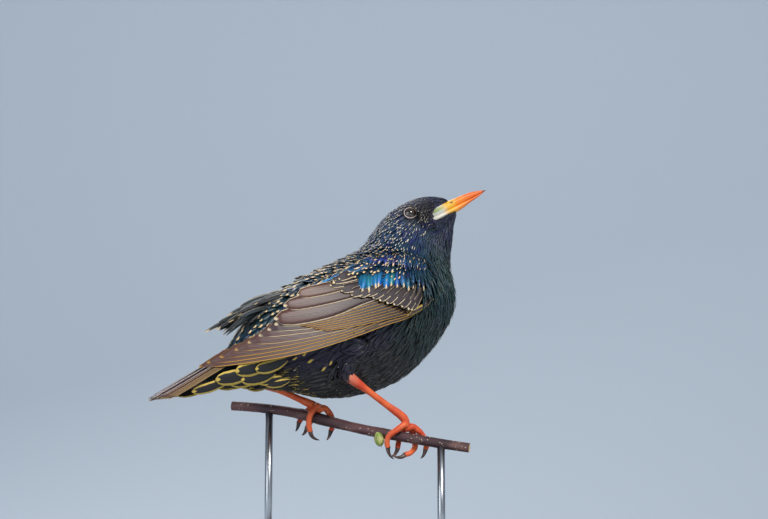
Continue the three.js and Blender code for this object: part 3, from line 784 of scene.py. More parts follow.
tip = np.where(dashes, rng.uniform(0.06, 0.14, len(kept)), tip)
# Yellow triangles of the flank, where their tips lie on the sheet.
flankSpots = [(-44.0, 106.4), (-37.9, 105.9), (-34.3, 107.0), (-26.7, 105.6), (-27.2, 102.3), (-32.1, 102.5),
              (-42.7, 108.6), (-47.5, 104.5), (-46.0, 101.0)]
gold = np.zeros(len(kept), bool)
tipS, tipZ = ks + flow[:, 0] * length, kz + flow[:, 1] * length
for sign in (1, -1):
    for spot in flankSpots:
        off = np.hypot(tipS - spot[0], tipZ - spot[1]) + 100 * (kside * sign < 6) + 100 * gold
        gold[np.argmin(off)] = True
tip = np.where(gold, rng.uniform(0.22, 0.3, len(kept)), tip)
lift += 0.7 * gold
vent = (ring > 13.8) & (share > 0.55) & ~gold
tip = np.where(vent, rng.uniform(0.0, 0.12, len(kept)), tip)
margin = np.where(vent & (chance < 0.45), rng.uniform(0.1, 0.22, len(kept)), 0.0)
width = np.where(gold, width * 1.1, np.where(vent, width * 0.5, width))
length = np.where(vent, length * 0.62, length)
edge = np.where(specks[:, None], tones["speck"], tones["buff"])
edge = np.where(dashes[:, None], tones["white"], edge)
edge = np.where((gold | vent)[:, None], tones["yellow"], edge)

turn = headingAt(ks)
across = np.stack([np.sin(turn), -np.cos(turn), 0 * turn], -1) * np.sign(kside)[:, None]
ways = np.stack([np.cos(turn) * flow[:, 0], np.sin(turn) * flow[:, 0], flow[:, 1]], -1)
ways += across * swerve[:, None]
# On the thighs the coat runs down to the heel.
thighs = {"right": np.array(((-3, -20.5, 117), (-7.2, -17.6, 99.6))),
          "left": np.array(((-20, 8, 108), (-49.0, -9.8, 97.6)))}
onThigh = np.zeros(len(kept))
for knee, heel in thighs.values():
    shin = heel - knee
    reach = np.clip((candidates[kept] - knee) @ shin / (shin @ shin), 0.25, 1.0)
    away = np.linalg.norm(candidates[kept] - (knee + reach[:, None] * shin), axis=1)
    near = 1 - smoothStep(away, 4.2, 6.6)
    ways = lerp(ways, unit(shin), near[:, None])
    onThigh = np.maximum(onThigh, near)
length = lerp(length, coatLook["thighLength"], onThigh)
width = lerp(width, coatLook["thighWidth"], onThigh)
# Next to a wing the coat laps over it.
crest = kz - np.interp(ks, *wingCrest)
lift += 1.5 * (ks > 20) * (ks < 36) * (kz > 124) * (kz < 152) * (abs(kside) > 13)
lift += 1.5 * (abs(kside) > 7) * smoothStep(crest, -12, -3) * (1 - smoothStep(crest, 7, 12)) * (ks < 32)
lines, normals = drape(candidates[kept], ways, length, coatLook["rows"], lift)

marks = np.stack([tip, margin, chance, margin * (chance < 0.3)], -1)
smallVane = Vane(2, coatLook["rows"])
tracts = {
    "coat_head": (ring < 4.0, "pointed"),
    "coat_neck": ((ring >= 4.0) & (ring < 8.0), "hackle"),
    "coat_breast": ((ring >= 8.0) & (ring < 12.0) & (share >= 0.42), "hackle"),
    "coat_back": ((ring >= 8.0) & (share < 0.42), "pointed"),
    "coat_belly": ((ring >= 12.0) & (share >= 0.42), "hackle"),
}
for name, (chosen, outline) in tracts.items():
    coat = Plumage(name, duskVane if name == "coat_belly" else glossyVane, "plumage")
    for own, shape in ((chosen & ~gold, outline), (chosen & gold, "round")):
        coat.add(smallVane, lines[own], normals[own], width[own], shape, tint[own], edge[own], marks[own],
                 thick=coatLook["thick"])
    coat.build()

# Cuffs: short feathers of the thigh that lap over the heel
cuffLook = {"levels": 4, "around": 15, "length": 6.4, "width": 1.7, "radius": (3.4, 2.5)}
cuffs = Plumage("coat_thighs", duskVane, "plumage")
chance = random.Random(4)
for knee, heel in thighs.values():
    shin = heel - knee
    shin = unit(shin)
    first = unit(np.cross(shin, (0.0, 1.0, 0.0)))
    second = np.cross(shin, first)
    for level in range(cuffLook["levels"]):
        start = heel - shin * (6.6 - 1.4 * level)
        radius = lerp(*cuffLook["radius"], level / (cuffLook["levels"] - 1))
        for i in range(cuffLook["around"]):
            angle = (i + 0.5 * (level % 2) + chance.uniform(-0.25, 0.25)) / cuffLook["around"] * 2 * math.pi
            out = first * math.cos(angle) + second * math.sin(angle)
            t = np.linspace(0, 1, smallVane.rows + 1)[:, None]
            run = shin * cuffLook["length"] * chance.uniform(0.7, 1.15)
            line = start + out * (radius - 0.5 + 0.9 * np.sin(t * 2.6)) + run * t
            normals = unit(np.tile(out, (len(t), 1)) + shin * 0.3 * (t - 0.3))
            tint = blend("bellyBlack", "flankPurple", chance.random())
            cuffs.addOne(smallVane, line, normals, cuffLook["width"], "hackle", tint, tones["white"],
                         (0.1 * (chance.random() < 0.12), 0, chance.random(), 0), thick=coatLook["thick"])
cuffs.build()

# Folded wings: points over the wing. With wrap they go round the shoulder on to the back.
def wingPoint(s, z, lift, mirror, wrap=False):
    def surface(s, z):
        side = wingSide(s, np.minimum(z, np.interp(s, wingCrest[0], wingCrest[1])))
        if not mirror:
            return place(s, side, z)
        shift = np.clip((32 - s) / 108, 0, 1) ** 3
        return place(s + 8 * shift, 2 * shift - side, z + 1.5 * shift)

    here = surface(s, z)
    if wrap:
        found = [onForm(point) for point in here]
        normals = np.array([normal for _, normal in found])
        return np.array([point for point, _ in found]) + normals * (lift + 0.9)[..., None]
    normal = np.cross(surface(s - 0.5, z) - here, surface(s, z + 0.5) - here)
    normal = unit(normal)
    if not mirror:
        normal = -normal
    return here + normal * lift[..., None]


wingVane = Vane(4, 14)
featherVane = Vane(2, 8)


# Lays one vane on the wing along a line of s, z from root to tip. Low and high are its lift there.
def layVane(plumage, vane, line, width, outline, low, high, tint, edge, marks, mirror,
            lean=0.0, cup=0.0, wrap=False):
    curve = Curve(line, 80)
    at = vane.along
    middle = curve.at(at)
    way = unit(curve.at(np.minimum(at + 0.02, 1.0)) - curve.at(np.maximum(at - 0.02, 0.0)))
    up = np.stack([way[:, 1], -way[:, 0]], -1)
    half = width / 2 * np.interp(at, *vaneOutlines[outline]) * (1 + lean * np.sign(vane.across))
    spot = middle + up * (vane.across * half)[:, None]
    rise = lerp(low, high, smoothStep(at, 0.0, 0.75)) - cup * vane.across ** 2 + np.where(vane.top, 0.1, 0.0)
    points = wingPoint(spot[:, 0], spot[:, 1], rise, mirror, wrap)
    root = points[vane.row == 0].mean(0)
    uv = placeOnUnwrap(root[None, :])
    if mirror:
        marks = (marks[0], marks[3], marks[2], marks[1])
    plumage.parts.append((vane, points[None], uv, np.array(tint)[None, :3], np.array(edge)[None, :3],
                          np.array(marks)[None], mirror))


# More rows by even steps between the given ones.
def between(rows, count):
    stack = np.array(rows, float)
    t = np.linspace(0, len(stack) - 1, count)
    i = np.minimum(t.astype(int), len(stack) - 2)
    return stack[i] + (stack[i + 1] - stack[i]) * (t - i)[:, None, None]


flightLook = {
    "primaryTips": [(-76.1, 100.0), (-73.2, 101.8), (-68.6, 104.3), (-63.1, 107.6), (-58.2, 111.0),
                    (-54.0, 114.2), (-50.6, 117.0), (-47.8, 119.4), (-45.4, 121.3)],
    "tertials": [
        ([(-3, 136.5), (-14, 132.6), (-26, 127.0), (-41, 122.9), (-48.0, 122.2)], 8.4),
        ([(-2, 139.5), (-14, 136.4), (-26, 132.6), (-38, 129.4), (-44.3, 128.4)], 6.6),
        ([(-6, 143.5), (-16, 140.2), (-25.6, 137.0), (-33, 135.0), (-38.6, 133.4)], 6.0)],
    "greater": [((-10.4, 147.0), (-20.8, 141.9)), ((-9.0, 143.6), (-24.7, 138.3)),
                ((-5.5, 140.5), (-17.1, 133.6)), ((0.0, 142.5), (-11.5, 134.2)),
                ((4.6, 143.0), (-5.7, 133.2)), ((10.5, 144.2), (-0.7, 131.4)),
                ((18.0, 142.8), (5.8, 130.2)), ((28.2, 141.8), (11.1, 128.9))],
    "median": [((-8.6, 149.6), (-13.0, 136.0)), ((-4.6, 150.9), (-9.0, 137.0)),
               ((1.0, 152.4), (-2.9, 138.9)), ((6.5, 153.0), (3.2, 139.3)), ((15.1, 151.8), (10.0, 138.2)),
               ((27.0, 152.0), (23.0, 138.8))],
    "lesser": [
        [((-4.5, 157.0), (-9.4, 150.4)), ((4.6, 158.0), (2.0, 150.4)), ((14.2, 157.6), (11.2, 149.6)),
         ((27.5, 154.5), (25.6, 147.6))],
        [((-3.0, 158.5), (-8.0, 153.0)), ((6.4, 159.8), (4.2, 152.6)), ((16.2, 159.4), (14.8, 152.0)),
         ((28.5, 156.0), (27.5, 149.8))],
        [((-1.0, 160.4), (-4.6, 155.4)), ((8.2, 161.2), (6.9, 155.6)), ((17.2, 160.8), (17.0, 154.8)),
         ((28.5, 159.0), (28.2, 152.6))]],
    "scapulars": [
        [((2.0, 154.5), (-10.5, 147.4)), ((-13.0, 149.5), (-25.5, 141.4)), ((-29.0, 142.2), (-40.5, 134.0))],
        [((1.0, 158.0), (-11.5, 151.0)), ((-13.0, 152.6), (-26.5, 145.0)), ((-30.0, 145.4), (-43.0, 136.8))],
        [((0.0, 161.0), (-10.5, 154.6)), ((-14.0, 155.6), (-25.5, 149.0)), ((-29.0, 148.4), (-41.0, 141.0))]],
    "marginal": [((31.5, 136.0), (24.0, 130.6)), ((29.0, 133.5), (19.5, 129.2)),
                 ((24.5, 131.8), (14.0, 128.2)), ((19.5, 130.6), (8.0, 126.6))],
}


# All rows of one wing, from the primaries to the scapulars, and the dark core under them.
def buildWing(side):
    mirror = side == "left"
    brown = Plumage(f"wing_{side}_flight", brownVane, "flight_feathers",
                    [f"wing_{side}_secondaries", f"wing_{side}_primaries"])
    dusk = Plumage(f"wing_{side}_great_coverts", duskVane, "plumage")
    glossy = Plumage(f"wing_{side}_covert_vanes", glossyVane, "plumage", [f"wing_{side}_coverts"])
    chance = random.Random(5)

    def lay(plumage, *values, **options):
        layVane(plumage, *values, mirror, **options)

    for k, tip in enumerate(flightLook["primaryTips"]):
        line = [(21 - 1.5 * k, 129.2 + 0.4 * k), (2 - 1.5 * k, 123.9 + 0.8 * k), (-19.6, 115.0 + 1.2 * k)]
        if k < 5:
            line.append((-42.6, 106.9 + 1.62 * k))
        line.append(tip)
        tone = blend("brown", "violetBrown", 0.2 + 0.08 * k)
        pale = blend("gold", "rim", smoothStep(k, 2, 6))
        lay(brown, wingVane, line, 6.9 + 0.1 * k, "oar", -1.9 + 0.11 * k, -1.5 + 0.2 * k, tone, pale,
            (0.004 + 0.002 * k, 0.02, chance.random(), 0.16 - 0.005 * k), lean=0.62)
    for j in range(8):
        share = j / 7
        tip = lerp(np.array((-30.5, 117.8)), np.array((-43.0, 120.4)), share)
        start = lerp(np.array((9.0, 128.2)), np.array((-3.0, 133.8)), share)
        middle = lerp(start, tip, 0.5) + np.array((0, -0.4))
        lay(brown, wingVane, [start, middle, tip], 6.4, "oar", -1.2 + 0.11 * j, -0.3 + 0.12 * j,
            blend("brown", "darkBrown", 0.5), tones["gold"],
            (0.02, 0.03, chance.random(), 0.13), lean=0.6)
    for j, (line, width) in enumerate(flightLook["tertials"]):
        lay(brown, wingVane, line, width, "oar", -0.1 + 0.1 * j, 0.8 + 0.25 * j,
            blend("brown", "violetBrown", 0.15), tones["rim"],
            (0.03, 0.045, chance.random(), 0.07), lean=0.1, cup=0.3)

    def shake(reach):
        return np.array((chance.uniform(-reach, reach), chance.uniform(-reach, reach)))

    for i, (root, tip) in enumerate(between(flightLook["greater"], 14)):
        middle = lerp(root, tip, 0.5) + np.array((0.3, -0.3))
        lay(dusk, wingVane, [root, middle, tip + shake(0.5)], 4.6, "blade", -0.2, 0.7 + 0.06 * (13 - i),
            blend("violetBrown", "bellyBlack", 0.45), tones["rim"],
            (0.05, 0.03, chance.random(), 0.12), lean=0.3)
    for i, (root, tip) in enumerate(between(flightLook["median"], 14)):
        blue = blend("covertBlue", "covertTeal", chance.random())
        tint = blue if i < 8 else lerp(blue, tones["covertPurple"], 0.3 + 0.1 * (i - 8))
        lay(glossy, featherVane, [root, lerp(root, tip, 0.5) + shake(0.5), tip + shake(1.2)],
            chance.uniform(2.7, 3.7), "round", 0.1, 1.0 + chance.uniform(0, 0.8), tint,
            tones["buff"], (chance.uniform(0.13, 0.2), 0.0, chance.random(), 0.0), cup=0.7)
    for level, rows in enumerate(flightLook["lesser"]):
        for i, (root, tip) in enumerate(between(rows, 17)):
            tint = blend("covertBlue", "covertPurple", chance.random() * 0.6 + 0.4)
            tint = lerp(tint, tones["mantleBlue"], 0.1 + 0.3 * level)
            lay(glossy, featherVane, [root + shake(0.6), lerp(root, tip, 0.5), tip + shake(1.4)],
                chance.uniform(2.2, 3.2), "pointed", 0.1, 0.9 + chance.uniform(0, 0.6), tint, tones["buff"],
                (chance.uniform(0.1, 0.22), 0.0, chance.random(), 0.0), cup=0.5, wrap=True)
    for level, rows in enumerate(flightLook["scapulars"]):
        for i, (root, tip) in enumerate(between(rows, 16)):
            blue = chance.random() ** 2 * 0.5 + (0.5 if level == 0 and 7 <= i <= 12 else 0.0)
            tint = blend("mantleBlue", "covertBlue", blue)
            lay(glossy, featherVane, [root, lerp(root, tip, 0.5) + (0, -0.3), tip + shake(1.0)],
                chance.uniform(3.0, 4.3), "pointed", 0.1 + 0.2 * level,
                1.0 + 0.2 * level + chance.uniform(0, 0.5), tint, tones["buff"],
                (chance.uniform(0.15, 0.24), 0.0, chance.random(), 0.0), cup=0.5, wrap=True)
    for root, tip in between(flightLook["marginal"], 11):
        lay(dusk, featherVane, [root, lerp(root, tip, 0.5), tip], 2.4, "pointed", -0.4, 0.5,
            tones["darkBrown"], tones["yellow"], (0.1, 0.1, chance.random(), 0.1), cup=0.3)
    dusk.build()
    brown.build()
    glossy.build()

    # A dark core under the vanes, so that no light shows between them. It is real blocking geometry; its
    # near-black colour is painted shade for the gaps between the vanes.
    bm = bmesh.new()
    made = bmesh.ops.create_grid(bm, x_segments=24, y_segments=8, size=0.5)["verts"]
    upper, lower = Curve(coreLook["upper"]), Curve(coreLook["lower"])
    for vert in made:
        t, v = vert.co.x + 0.5, vert.co.y + 0.5
        spot = lerp(lower.at(t), upper.at(t), v)
        vert.co = wingPoint(spot[0], spot[1], np.array(lerp(*coreLook["lift"], t)), mirror)
    bmesh.ops.solidify(bm, geom=bm.faces[:], thickness=coreLook["thick"])
    addShape(f"wing_{side}_core", bm, coreMaterial, "plumage")


coreLook = {"upper": [(30, 150), (9.4, 153), (-7.3, 149), (-30.7, 136), (-47.4, 121.5), (-70, 103.5)],
            "lower": [(30, 136), (16.4, 130.6), (-14.3, 119.2), (-42.9, 109.2), (-56, 105.8), (-70, 102.3)],
            "lift": (-2.6, -1.7), "thick": 0.8}
# Near-black finish of the wing core: painted shade between the vanes. The eye sockets use it too.
coreFinish = Finish("underVane", Roughness=0.8)
coreMaterial = coreFinish.put(Base_Color=coreFinish.mix(coreFinish.noise(300.0), "#0d0c10", "#191418"))
for side, _ in bothSides:
    buildWing(side)

print("wings laid")

# Tail: ridge as s, z, half width and droop of each half
tailLook = {"ridge": [(-44, 114.5), (-57.6, 108.6), (-68.4, 102.2), (-76.5, 96.9), (-85.4, 90.8),
                      (-93.5, 85.2)],
            "widths": (6.0, 12.0), "near": 2.6, "farRoot": 20.5, "farTip": 1.6, "vane": 6.4}
tailRidge = Curve(tailLook["ridge"])


# Point and normal over the tail: u runs from root to tip, v outwards, negative on the far side.
def tailPoint(u, v, lift):
    def surface(u, v):
        centre = tailRidge.at(np.clip(u, 0, 1))
        half = lerp(*tailLook["widths"], np.minimum(1, u * 1.6))
        far = lerp(tailLook["farRoot"], tailLook["farTip"], np.minimum(1, u * 1.12))
        droop = np.where(v > 0, tailLook["near"], far) * v * v
        return place(centre[..., 0], v * half, centre[..., 1] - droop)

    here = surface(u, v)
    normal = np.cross(surface(u, v + 0.02) - here, surface(u + 0.01, v) - here)
    normal = unit(normal) * np.sign(normal[..., 2:3])
    return here + normal * lift[..., None], normal


tailCoat = Plumage("tail_vanes", brownVane, "flight_feathers", ["tail"])
nearPlaces = [(0.10, 0.16, 9.0), (0.36, 0.50, 8.0), (0.56, 0.72, 6.0), (0.66, 0.82, 5.0), (0.76, 0.90, 4.4),
              (0.86, 0.97, 3.6)]
farPlaces = [(0.10, 0.14, 8.5), (0.24, 0.32, 7.5), (0.40, 0.50, 7.0), (0.58, 0.68, 6.6), (0.74, 0.84, 6.0),
             (0.90, 0.97, 5.0)]
for sign, places in ((1, nearPlaces), (-1, farPlaces)):
    for k, (rootPlace, tipPlace, wide) in enumerate(places):
        u = np.linspace(0.02, 1.0 - 0.014 * k, wingVane.rows + 1)
        v = sign * lerp(rootPlace, tipPlace, u)
        lift = np.full_like(u, 0.6 - 0.26 * k)
        line, normals = tailPoint(u, v, lift)
        tint = blend("tailBrown", "darkBrown", 0.12 * k) if sign > 0 else tones["underTail"]
        rim = 0.0 if k == 0 else 0.035 + 0.012 * k
        marks = (0.01, 0.0, random.random(), rim) if sign > 0 else (0.01, rim, random.random(), 0.0)
        tailCoat.addOne(wingVane, line, normals, wide, "oar", tint, tones["rimGold"], marks,
                        thick=0.12, cup=0.02)
tailCoat.build()

# Normals made square to a line.
def squared(normals, line):
    ways = unit(np.gradient(line, axis=0))
    return unit(normals - ways * (normals * ways).sum(1)[:, None])

# Rump: long loose feathers that stand off behind the back
rumpLook = {"count": 58, "length": (13, 25), "width": 3.1}
rump = Plumage("coat_rump", duskVane, "plumage", ["rump_feathers"])
chance = random.Random(9)
for i in range(rumpLook["count"]):
    across = chance.uniform(-5.0, 9.0)
    level = chance.random()
    start = np.array((-36.0 - 12 * level, across, 0.0))
    root, normal = onForm(place(start[0], start[1], 139.0 - 9.5 * level))
    reach = chance.uniform(*rumpLook["length"]) * (1.0 if across < 6 else 0.75)
    dip = chance.uniform(-0.62, -0.2)
    turn = headingAt(start[0])
    way = np.array((-math.cos(turn), -math.sin(turn), dip))
    side = outward(start[0]) * chance.uniform(-0.12, 0.16)
    t = np.linspace(0, 1, featherVane.rows + 1)[:, None]
    line = root + (way + side) * reach * t + np.array((0, 0, -3.4)) * t ** 2 + normal * 0.8 * np.sin(t * 2.2)
    normals = squared(np.tile((0.25, -0.55, 0.8), (len(t), 1)), line)
    pale = chance.random() < 0.5
    tint = blend("bellyBlack", "rumpTeal", chance.random() * 0.6)
    marks = (0.12 * pale, 0.05 * (chance.random() < 0.3), chance.random(), 0.04 * pale)
    rump.addOne(featherVane, line, normals, rumpLook["width"] * chance.uniform(0.8, 1.15), "spear",
                tint, tones["buff"], marks, cup=0.1)
rump.build()

# Long coverts under the tail: root and tip on the sheet with side, and width
ventLook = [((-41.0, 104.5, 15), (-54.5, 99.5, 13), 6.2), ((-46.5, 103.6, 14), (-62.6, 98.2, 11.5), 7.0),
            ((-45.0, 98.5, 12), (-59.5, 95.0, 10), 6.6), ((-53.0, 99.5, 12), (-70.2, 94.2, 9.5), 7.2),
            ((-61.5, 96.4, 9), (-79.6, 88.4, 8), 5.0), ((-41.5, 96.6, 11), (-53.0, 95.2, 9), 4.6),
            ((-38.0, 95.6, 11), (-49.0, 94.0, 9), 4.2), ((-50.0, 96.0, 9), (-63.5, 93.6, 7), 4.6)]


# How far out the skin lies at a place on the sheet.
def skinSide(s, z, sign):
    start = 60.0
    hit = skinTree.ray_cast(Vector(place(s, start * sign, z) * mm), Vector(-outward(s, sign)))
    return max(0.0, start - hit[3] / mm) if hit[0] else 0.0


undertail = Plumage("coat_undertail", duskVane, "plumage")
chance = random.Random(3)
for sign in (1, -1):
    for order, (root, tip, wide) in enumerate(ventLook):
        line, normals = [], []
        for t in np.linspace(0, 1, wingVane.rows + 1):
            s, z, side = lerp(np.array(root), np.array(tip), t)
            z -= 1.2 * math.sin(math.pi * t)
            side = max(side, skinSide(s, z, sign)) + 0.7 + 0.5 * t + 0.09 * (len(ventLook) - order)
            line.append(place(s, side * sign, z))
            normals.append(outward(s, sign) + (0, 0, -0.35))
        line = np.array(line)
        for _ in range(3):
            line[1:-1] = (line[:-2] + line[1:-1] * 2 + line[2:]) / 4
        marks = (0.12, chance.uniform(0.14, 0.26), chance.random(), 0.18)
        undertail.addOne(wingVane, line, squared(np.array(normals), line), wide, "round", tones["undertail"],
                         tones["yellow"], marks, thick=0.1, cup=0.08)
undertail.build()

# Bill
upperRows = [(60.1, 192.4, 60.0, 192.2, 0.08), (59.5, 192.45, 59.0, 191.7, 0.45),
             (57.4, 192.2, 56.9, 190.6, 1.05), (52.8, 191.4, 52.4, 187.9, 1.9),
             (48.7, 189.9, 47.4, 185.2, 2.6), (44.2, 187.9, 42.8, 182.5, 3.4),
             (40.0, 186.3, 38.7, 179.8, 4.0), (36.0, 184.8, 34.9, 178.0, 4.15),
             (31.5, 183.0, 30.6, 177.2, 2.2)]
lowerRows = [(59.1, 191.7, 59.0, 191.4, 0.08), (58.3, 191.3, 58.2, 190.7, 0.45),
             (56.8, 190.5, 56.7, 189.4, 0.95), (52.4, 188.0, 52.5, 186.3, 1.75),
             (47.2, 185.5, 47.2, 182.2, 2.5), (42.6, 182.9, 42.9, 180.0, 3.3),
             (38.4, 180.6, 39.5, 177.9, 3.9), (34.7, 179.0, 35.4, 175.5, 4.0),
             (30.6, 177.6, 31.4, 174.0, 2.0)]


# Horn of one mandible from rows of top s, z, bottom s, z and half width, from tip to root.
def mandible(name, rows, upper, replaced):
    rows = np.array(rows)
    top = Curve(np.c_[rows[:, 0:2], rows[:, 4]], 200)
    low = Curve(np.c_[rows[:, 2:4], rows[:, 4]], 200)

    def rule(t, angle):
        a, b = top.at(t), low.at(t)
        share = (1 - math.cos(angle)) / 2
        flat = share if upper else 1 - share
        squared = lerp(1.15, 0.42, float(smoothStep(flat, 0.3, 0.85)))
        width = a[2] * math.copysign(abs(math.sin(angle)) ** squared, math.sin(angle))
        if upper:
            groove = math.exp(-((t - 0.76) / 0.10) ** 2 - ((share - 0.42) / 0.13) ** 2)
            width *= 1 - 0.14 * groove
        spot = lerp(a[:2], b[:2], share)
        return Vector(place(spot[0], width, spot[1]))

    bm = bmesh.new()
    wrapTube(bm, 72, 40, rule)
    return addShape(name, bm, billMaterial, "bill_horn", [replaced])


# The horn is coloured by share along the bill and by height over the mouth line, in metres.
billLook = {"gape": (0.0315, 0.1775), "along": (31.6, 15.0), "slope": 0.515}
bill = Finish("billHorn", Roughness=0.34, IOR=1.5)
x, _, z = bill.split(bill.coords())
fromGape, overGape = x - billLook["gape"][0], z - billLook["gape"][1]
along = fromGape * billLook["along"][0] + overGape * billLook["along"][1]
height = overGape - fromGape * billLook["slope"]
wander = (bill.noise(160.0, 4.0) - 0.5) * 0.16
grain = bill.noise(900.0, 3.0, stretch=(0.25, 1.0, 0.5))
base = bill.mix((height + wander * 0.006).step(-0.0012, 0.0006), "#c4c0b0", "#aeb8b1")
streak = (height * 1000.0).step(0.35, 0.9) * (1.0 - (height * 1000.0).step(2.2, 3.0))
olive = streak * (along + wander).step(0.07, 0.13) * (1.0 - (along + wander).step(0.30, 0.36))
base = bill.mix(olive * 0.85, base, "#7d8a3c")
colour = bill.mix((along + wander + height * 14.0).step(0.26, 0.42), base, "#d9a22a")
colour = bill.mix((along + wander).step(0.44, 0.6), colour, "#e07a18")
colour = bill.mix((along + wander).step(0.6, 0.86) * 0.75, colour, "#cc510d")
# A cream stripe along the top of the culmen, fading towards the tip, is a painted highlight.
ridge = (height * 1000.0).step(3.2, 4.6) * (1.0 - along.step(0.5, 0.95))
colour = bill.mix(ridge * 0.7, colour, "#ecd9a6")
colour = bill.mix(along.step(1.04, 1.085) * 0.85, colour, "#4a3a2c")
colour = bill.mix(grain.step(0.5, 0.75) * 0.14, colour, "#a8641c")
billMaterial = bill.put(Base_Color=colour, Roughness=0.36 + grain * 0.14)
bill.put(Subsurface_Weight=0.06, Subsurface_Radius=(0.002, 0.001, 0.0006))
bill.bump(grain, 0.00008, 0.5)
upperHorn = mandible("bill_upper_horn", upperRows, True, "bill_upper")
mandible("bill_lower_horn", lowerRows, False, "bill_lower")

# Slit nostrils, sunk into the flanks of the upper mandible.
nostril = {"s": 42.6, "z": 185.3, "half": (1.15, 0.34, 0.24), "slope": (0.9, 0.44)}
nostrilMaterial = Finish("nostrilDark", Roughness=0.6).put(Base_Color="#2a2a1a")
hornTree = BVHTree.FromObject(upperHorn, bpy.context.evaluated_depsgraph_get())
for side, sign in bothSides:
    turn = headingAt(nostril["s"])
    out = Vector(outward(nostril["s"], sign))
    level, climb = nostril["slope"]
    run = Vector((math.cos(turn) * level, math.sin(turn) * level, climb))
    start = Vector(place(nostril["s"], 20.0 * sign, nostril["z"]) * mm)
    spot = hornTree.ray_cast(start, -out)[0] / mm
    columns = [axis.normalized() * half for axis, half in zip((run, out.cross(run), out), nostril["half"])]
    matrix = Matrix(columns).transposed().to_4x4()
    matrix.translation = spot - out * 0.08
    bm = bmesh.new()
    bmesh.ops.create_icosphere(bm, subdivisions=3, radius=1.0, matrix=matrix)
    addShape(f"bill_nostril_{side}", bm, nostrilMaterial, "bill_horn")
print("bill made")

# Eyes: ball, ring of bare lid skin
eyeLook = {"ball": 3.5, "side": 6.3, "opening": 2.65, "lid": 0.31, "back": 0.6,
           "rise": 1.1, "socket": 3.2}


# Ball, lid ring and the dark skin round them for one eye.
def eyeParts(side, sign):
    s, z = coatLook["eye"]
    centre = place(s, eyeLook["side"] * sign, z)
    turn = headingAt(s)
    back = np.array((math.cos(turn), math.sin(turn), 0.0)) * eyeLook["back"]
    way = unit(place(s, 11.0 * sign, z + eyeLook["rise"]) - centre - back)
    up = unit(np.cross(way, np.cross((0, 0, 1.0), way)))
    across = np.cross(up, way)
    radius = eyeLook["ball"]

    def ringed(turned, reach, depth):
        return Vector(centre + (up * math.cos(turned) + across * math.sin(turned)) * reach + way * depth)

    def ball(t, angle):
        tilt = t * math.pi
        reach = radius * (1 + 0.05 * math.exp(-(tilt / 0.42) ** 2))
        return ringed(angle, math.sin(tilt) * reach, math.cos(tilt) * reach)

    bm = bmesh.new()
    wrapTube(bm, 60, 48, ball)
    piece = addShape(f"eye_ball_{side}", bm, eyeMaterial, "eye_glass", [f"eye_{side}"])
    layer = piece.data.attributes.new("iris", "FLOAT", "POINT")
    arms = unit(readVerts(piece.data) / mm - centre)
    layer.data.foreach_set("value", np.arccos(np.clip(arms @ way, -1, 1)) * radius)

    middle = eyeLook["opening"] + eyeLook["lid"]

    def lid(t, angle):
        turned = t * 2 * math.pi
        ring = up * math.cos(turned) * 0.96 + across * math.sin(turned) * 1.04
        reach = middle + math.cos(angle) * (eyeLook["lid"] + 0.05 * math.cos(2 * turned))
        depth = math.sqrt(radius ** 2 - min(reach, 3.25) ** 2)
        return Vector(centre + ring * reach + way * (depth + 0.12 + 0.26 * math.sin(angle)))

    bm = bmesh.new()
    wrapTube(bm, 64, 14, lid)
    addShape(f"eye_lid_{side}", bm, lidMaterial, "leg_skin")

    # Dark skin between the lid and the first feathers.
    def socket(t, angle):
        reach = eyeLook["socket"] + math.cos(angle) * 0.5
        return ringed(t * 2 * math.pi, reach, 1.75 + 0.5 * math.sin(angle))

    bm = bmesh.new()
    wrapTube(bm, 64, 14, socket)
    addShape(f"eye_socket_{side}", bm, coreMaterial, "plumage")


eye = Finish("eyeGlass", Roughness=0.08, IOR=1.4)
eye.put(Coat_Weight=1.0, Coat_Roughness=0.02)
out = eye.attribute("iris", out=2)
fleck = eye.noise(1400.0, 3.0)
brown = eye.mix(fleck, "#24140c", "#3d2618")
brown = eye.mix(out.step(1.5, 2.3), brown, "#0e0806")
eyeMaterial = eye.put(Base_Color=eye.mix(out.step(1.0, 1.15), "#030303", brown))
lid = Finish("lidSkin", Roughness=0.62)
lidGrain = lid.noise(1100.0, 3.0)
lidMaterial = lid.put(Base_Color=lid.mix(lidGrain, "#9c8680", "#dccbc4"))
lid.bump(lidGrain, 0.00012, 0.7)
for side, sign in bothSides:
    eyeParts(side, sign)
print("eyes made")

# Perch
twigLook = {"radius": 2.35,
            "line": [(-62, 12.6, 87.3), (-53.3, 10.9, 86.6), (-41.7, 8.4, 85.2), (-29.3, 5.8, 82.9),
                     (-12.6, 2.2, 78.4), (3.9, -1.3, 74.4), (19.8, -4.6, 71.3), (36.5, -8.2, 68.1),
                     (50, -11, 65.9)],
            "widths": (0.92, 0.95, 1, 1.16, 0.98, 1.04, 1, 0.97, 0.94), "lenticels": 150}
twig = Curve(twigLook["line"], 400)


# Middle of the twig with its far and upper directions at a place along x.
def twigFrame(x):
    t = np.interp(x, twig.line[:, 0], twig.share)
    run = twig.tangent(t)
    far = np.cross((0, 0, 1.0), run)
    far = unit(far)
    return twig.at(t), far, np.cross(run, far)


def roundTwig(x, angle, distance):
    centre, far, up = twigFrame(x)
    turn = math.radians(angle)
    return centre + (up * math.cos(turn) + far * math.sin(turn)) * distance


def twigRadius(t, angle):
    nodeShare = np.interp(t, np.linspace(0, 1, 9), twigLook["widths"])
    swell = 0.13 * math.exp(-((t - 0.295) / 0.014) ** 2) + 0.07 * math.exp(-((t - 0.64) / 0.02) ** 2)
    rough = noise.noise(Vector((t * 60, math.cos(angle) * 1.3, math.sin(angle) * 1.3)))
    return twigLook["radius"] * (nodeShare + swell + 0.025 * rough)


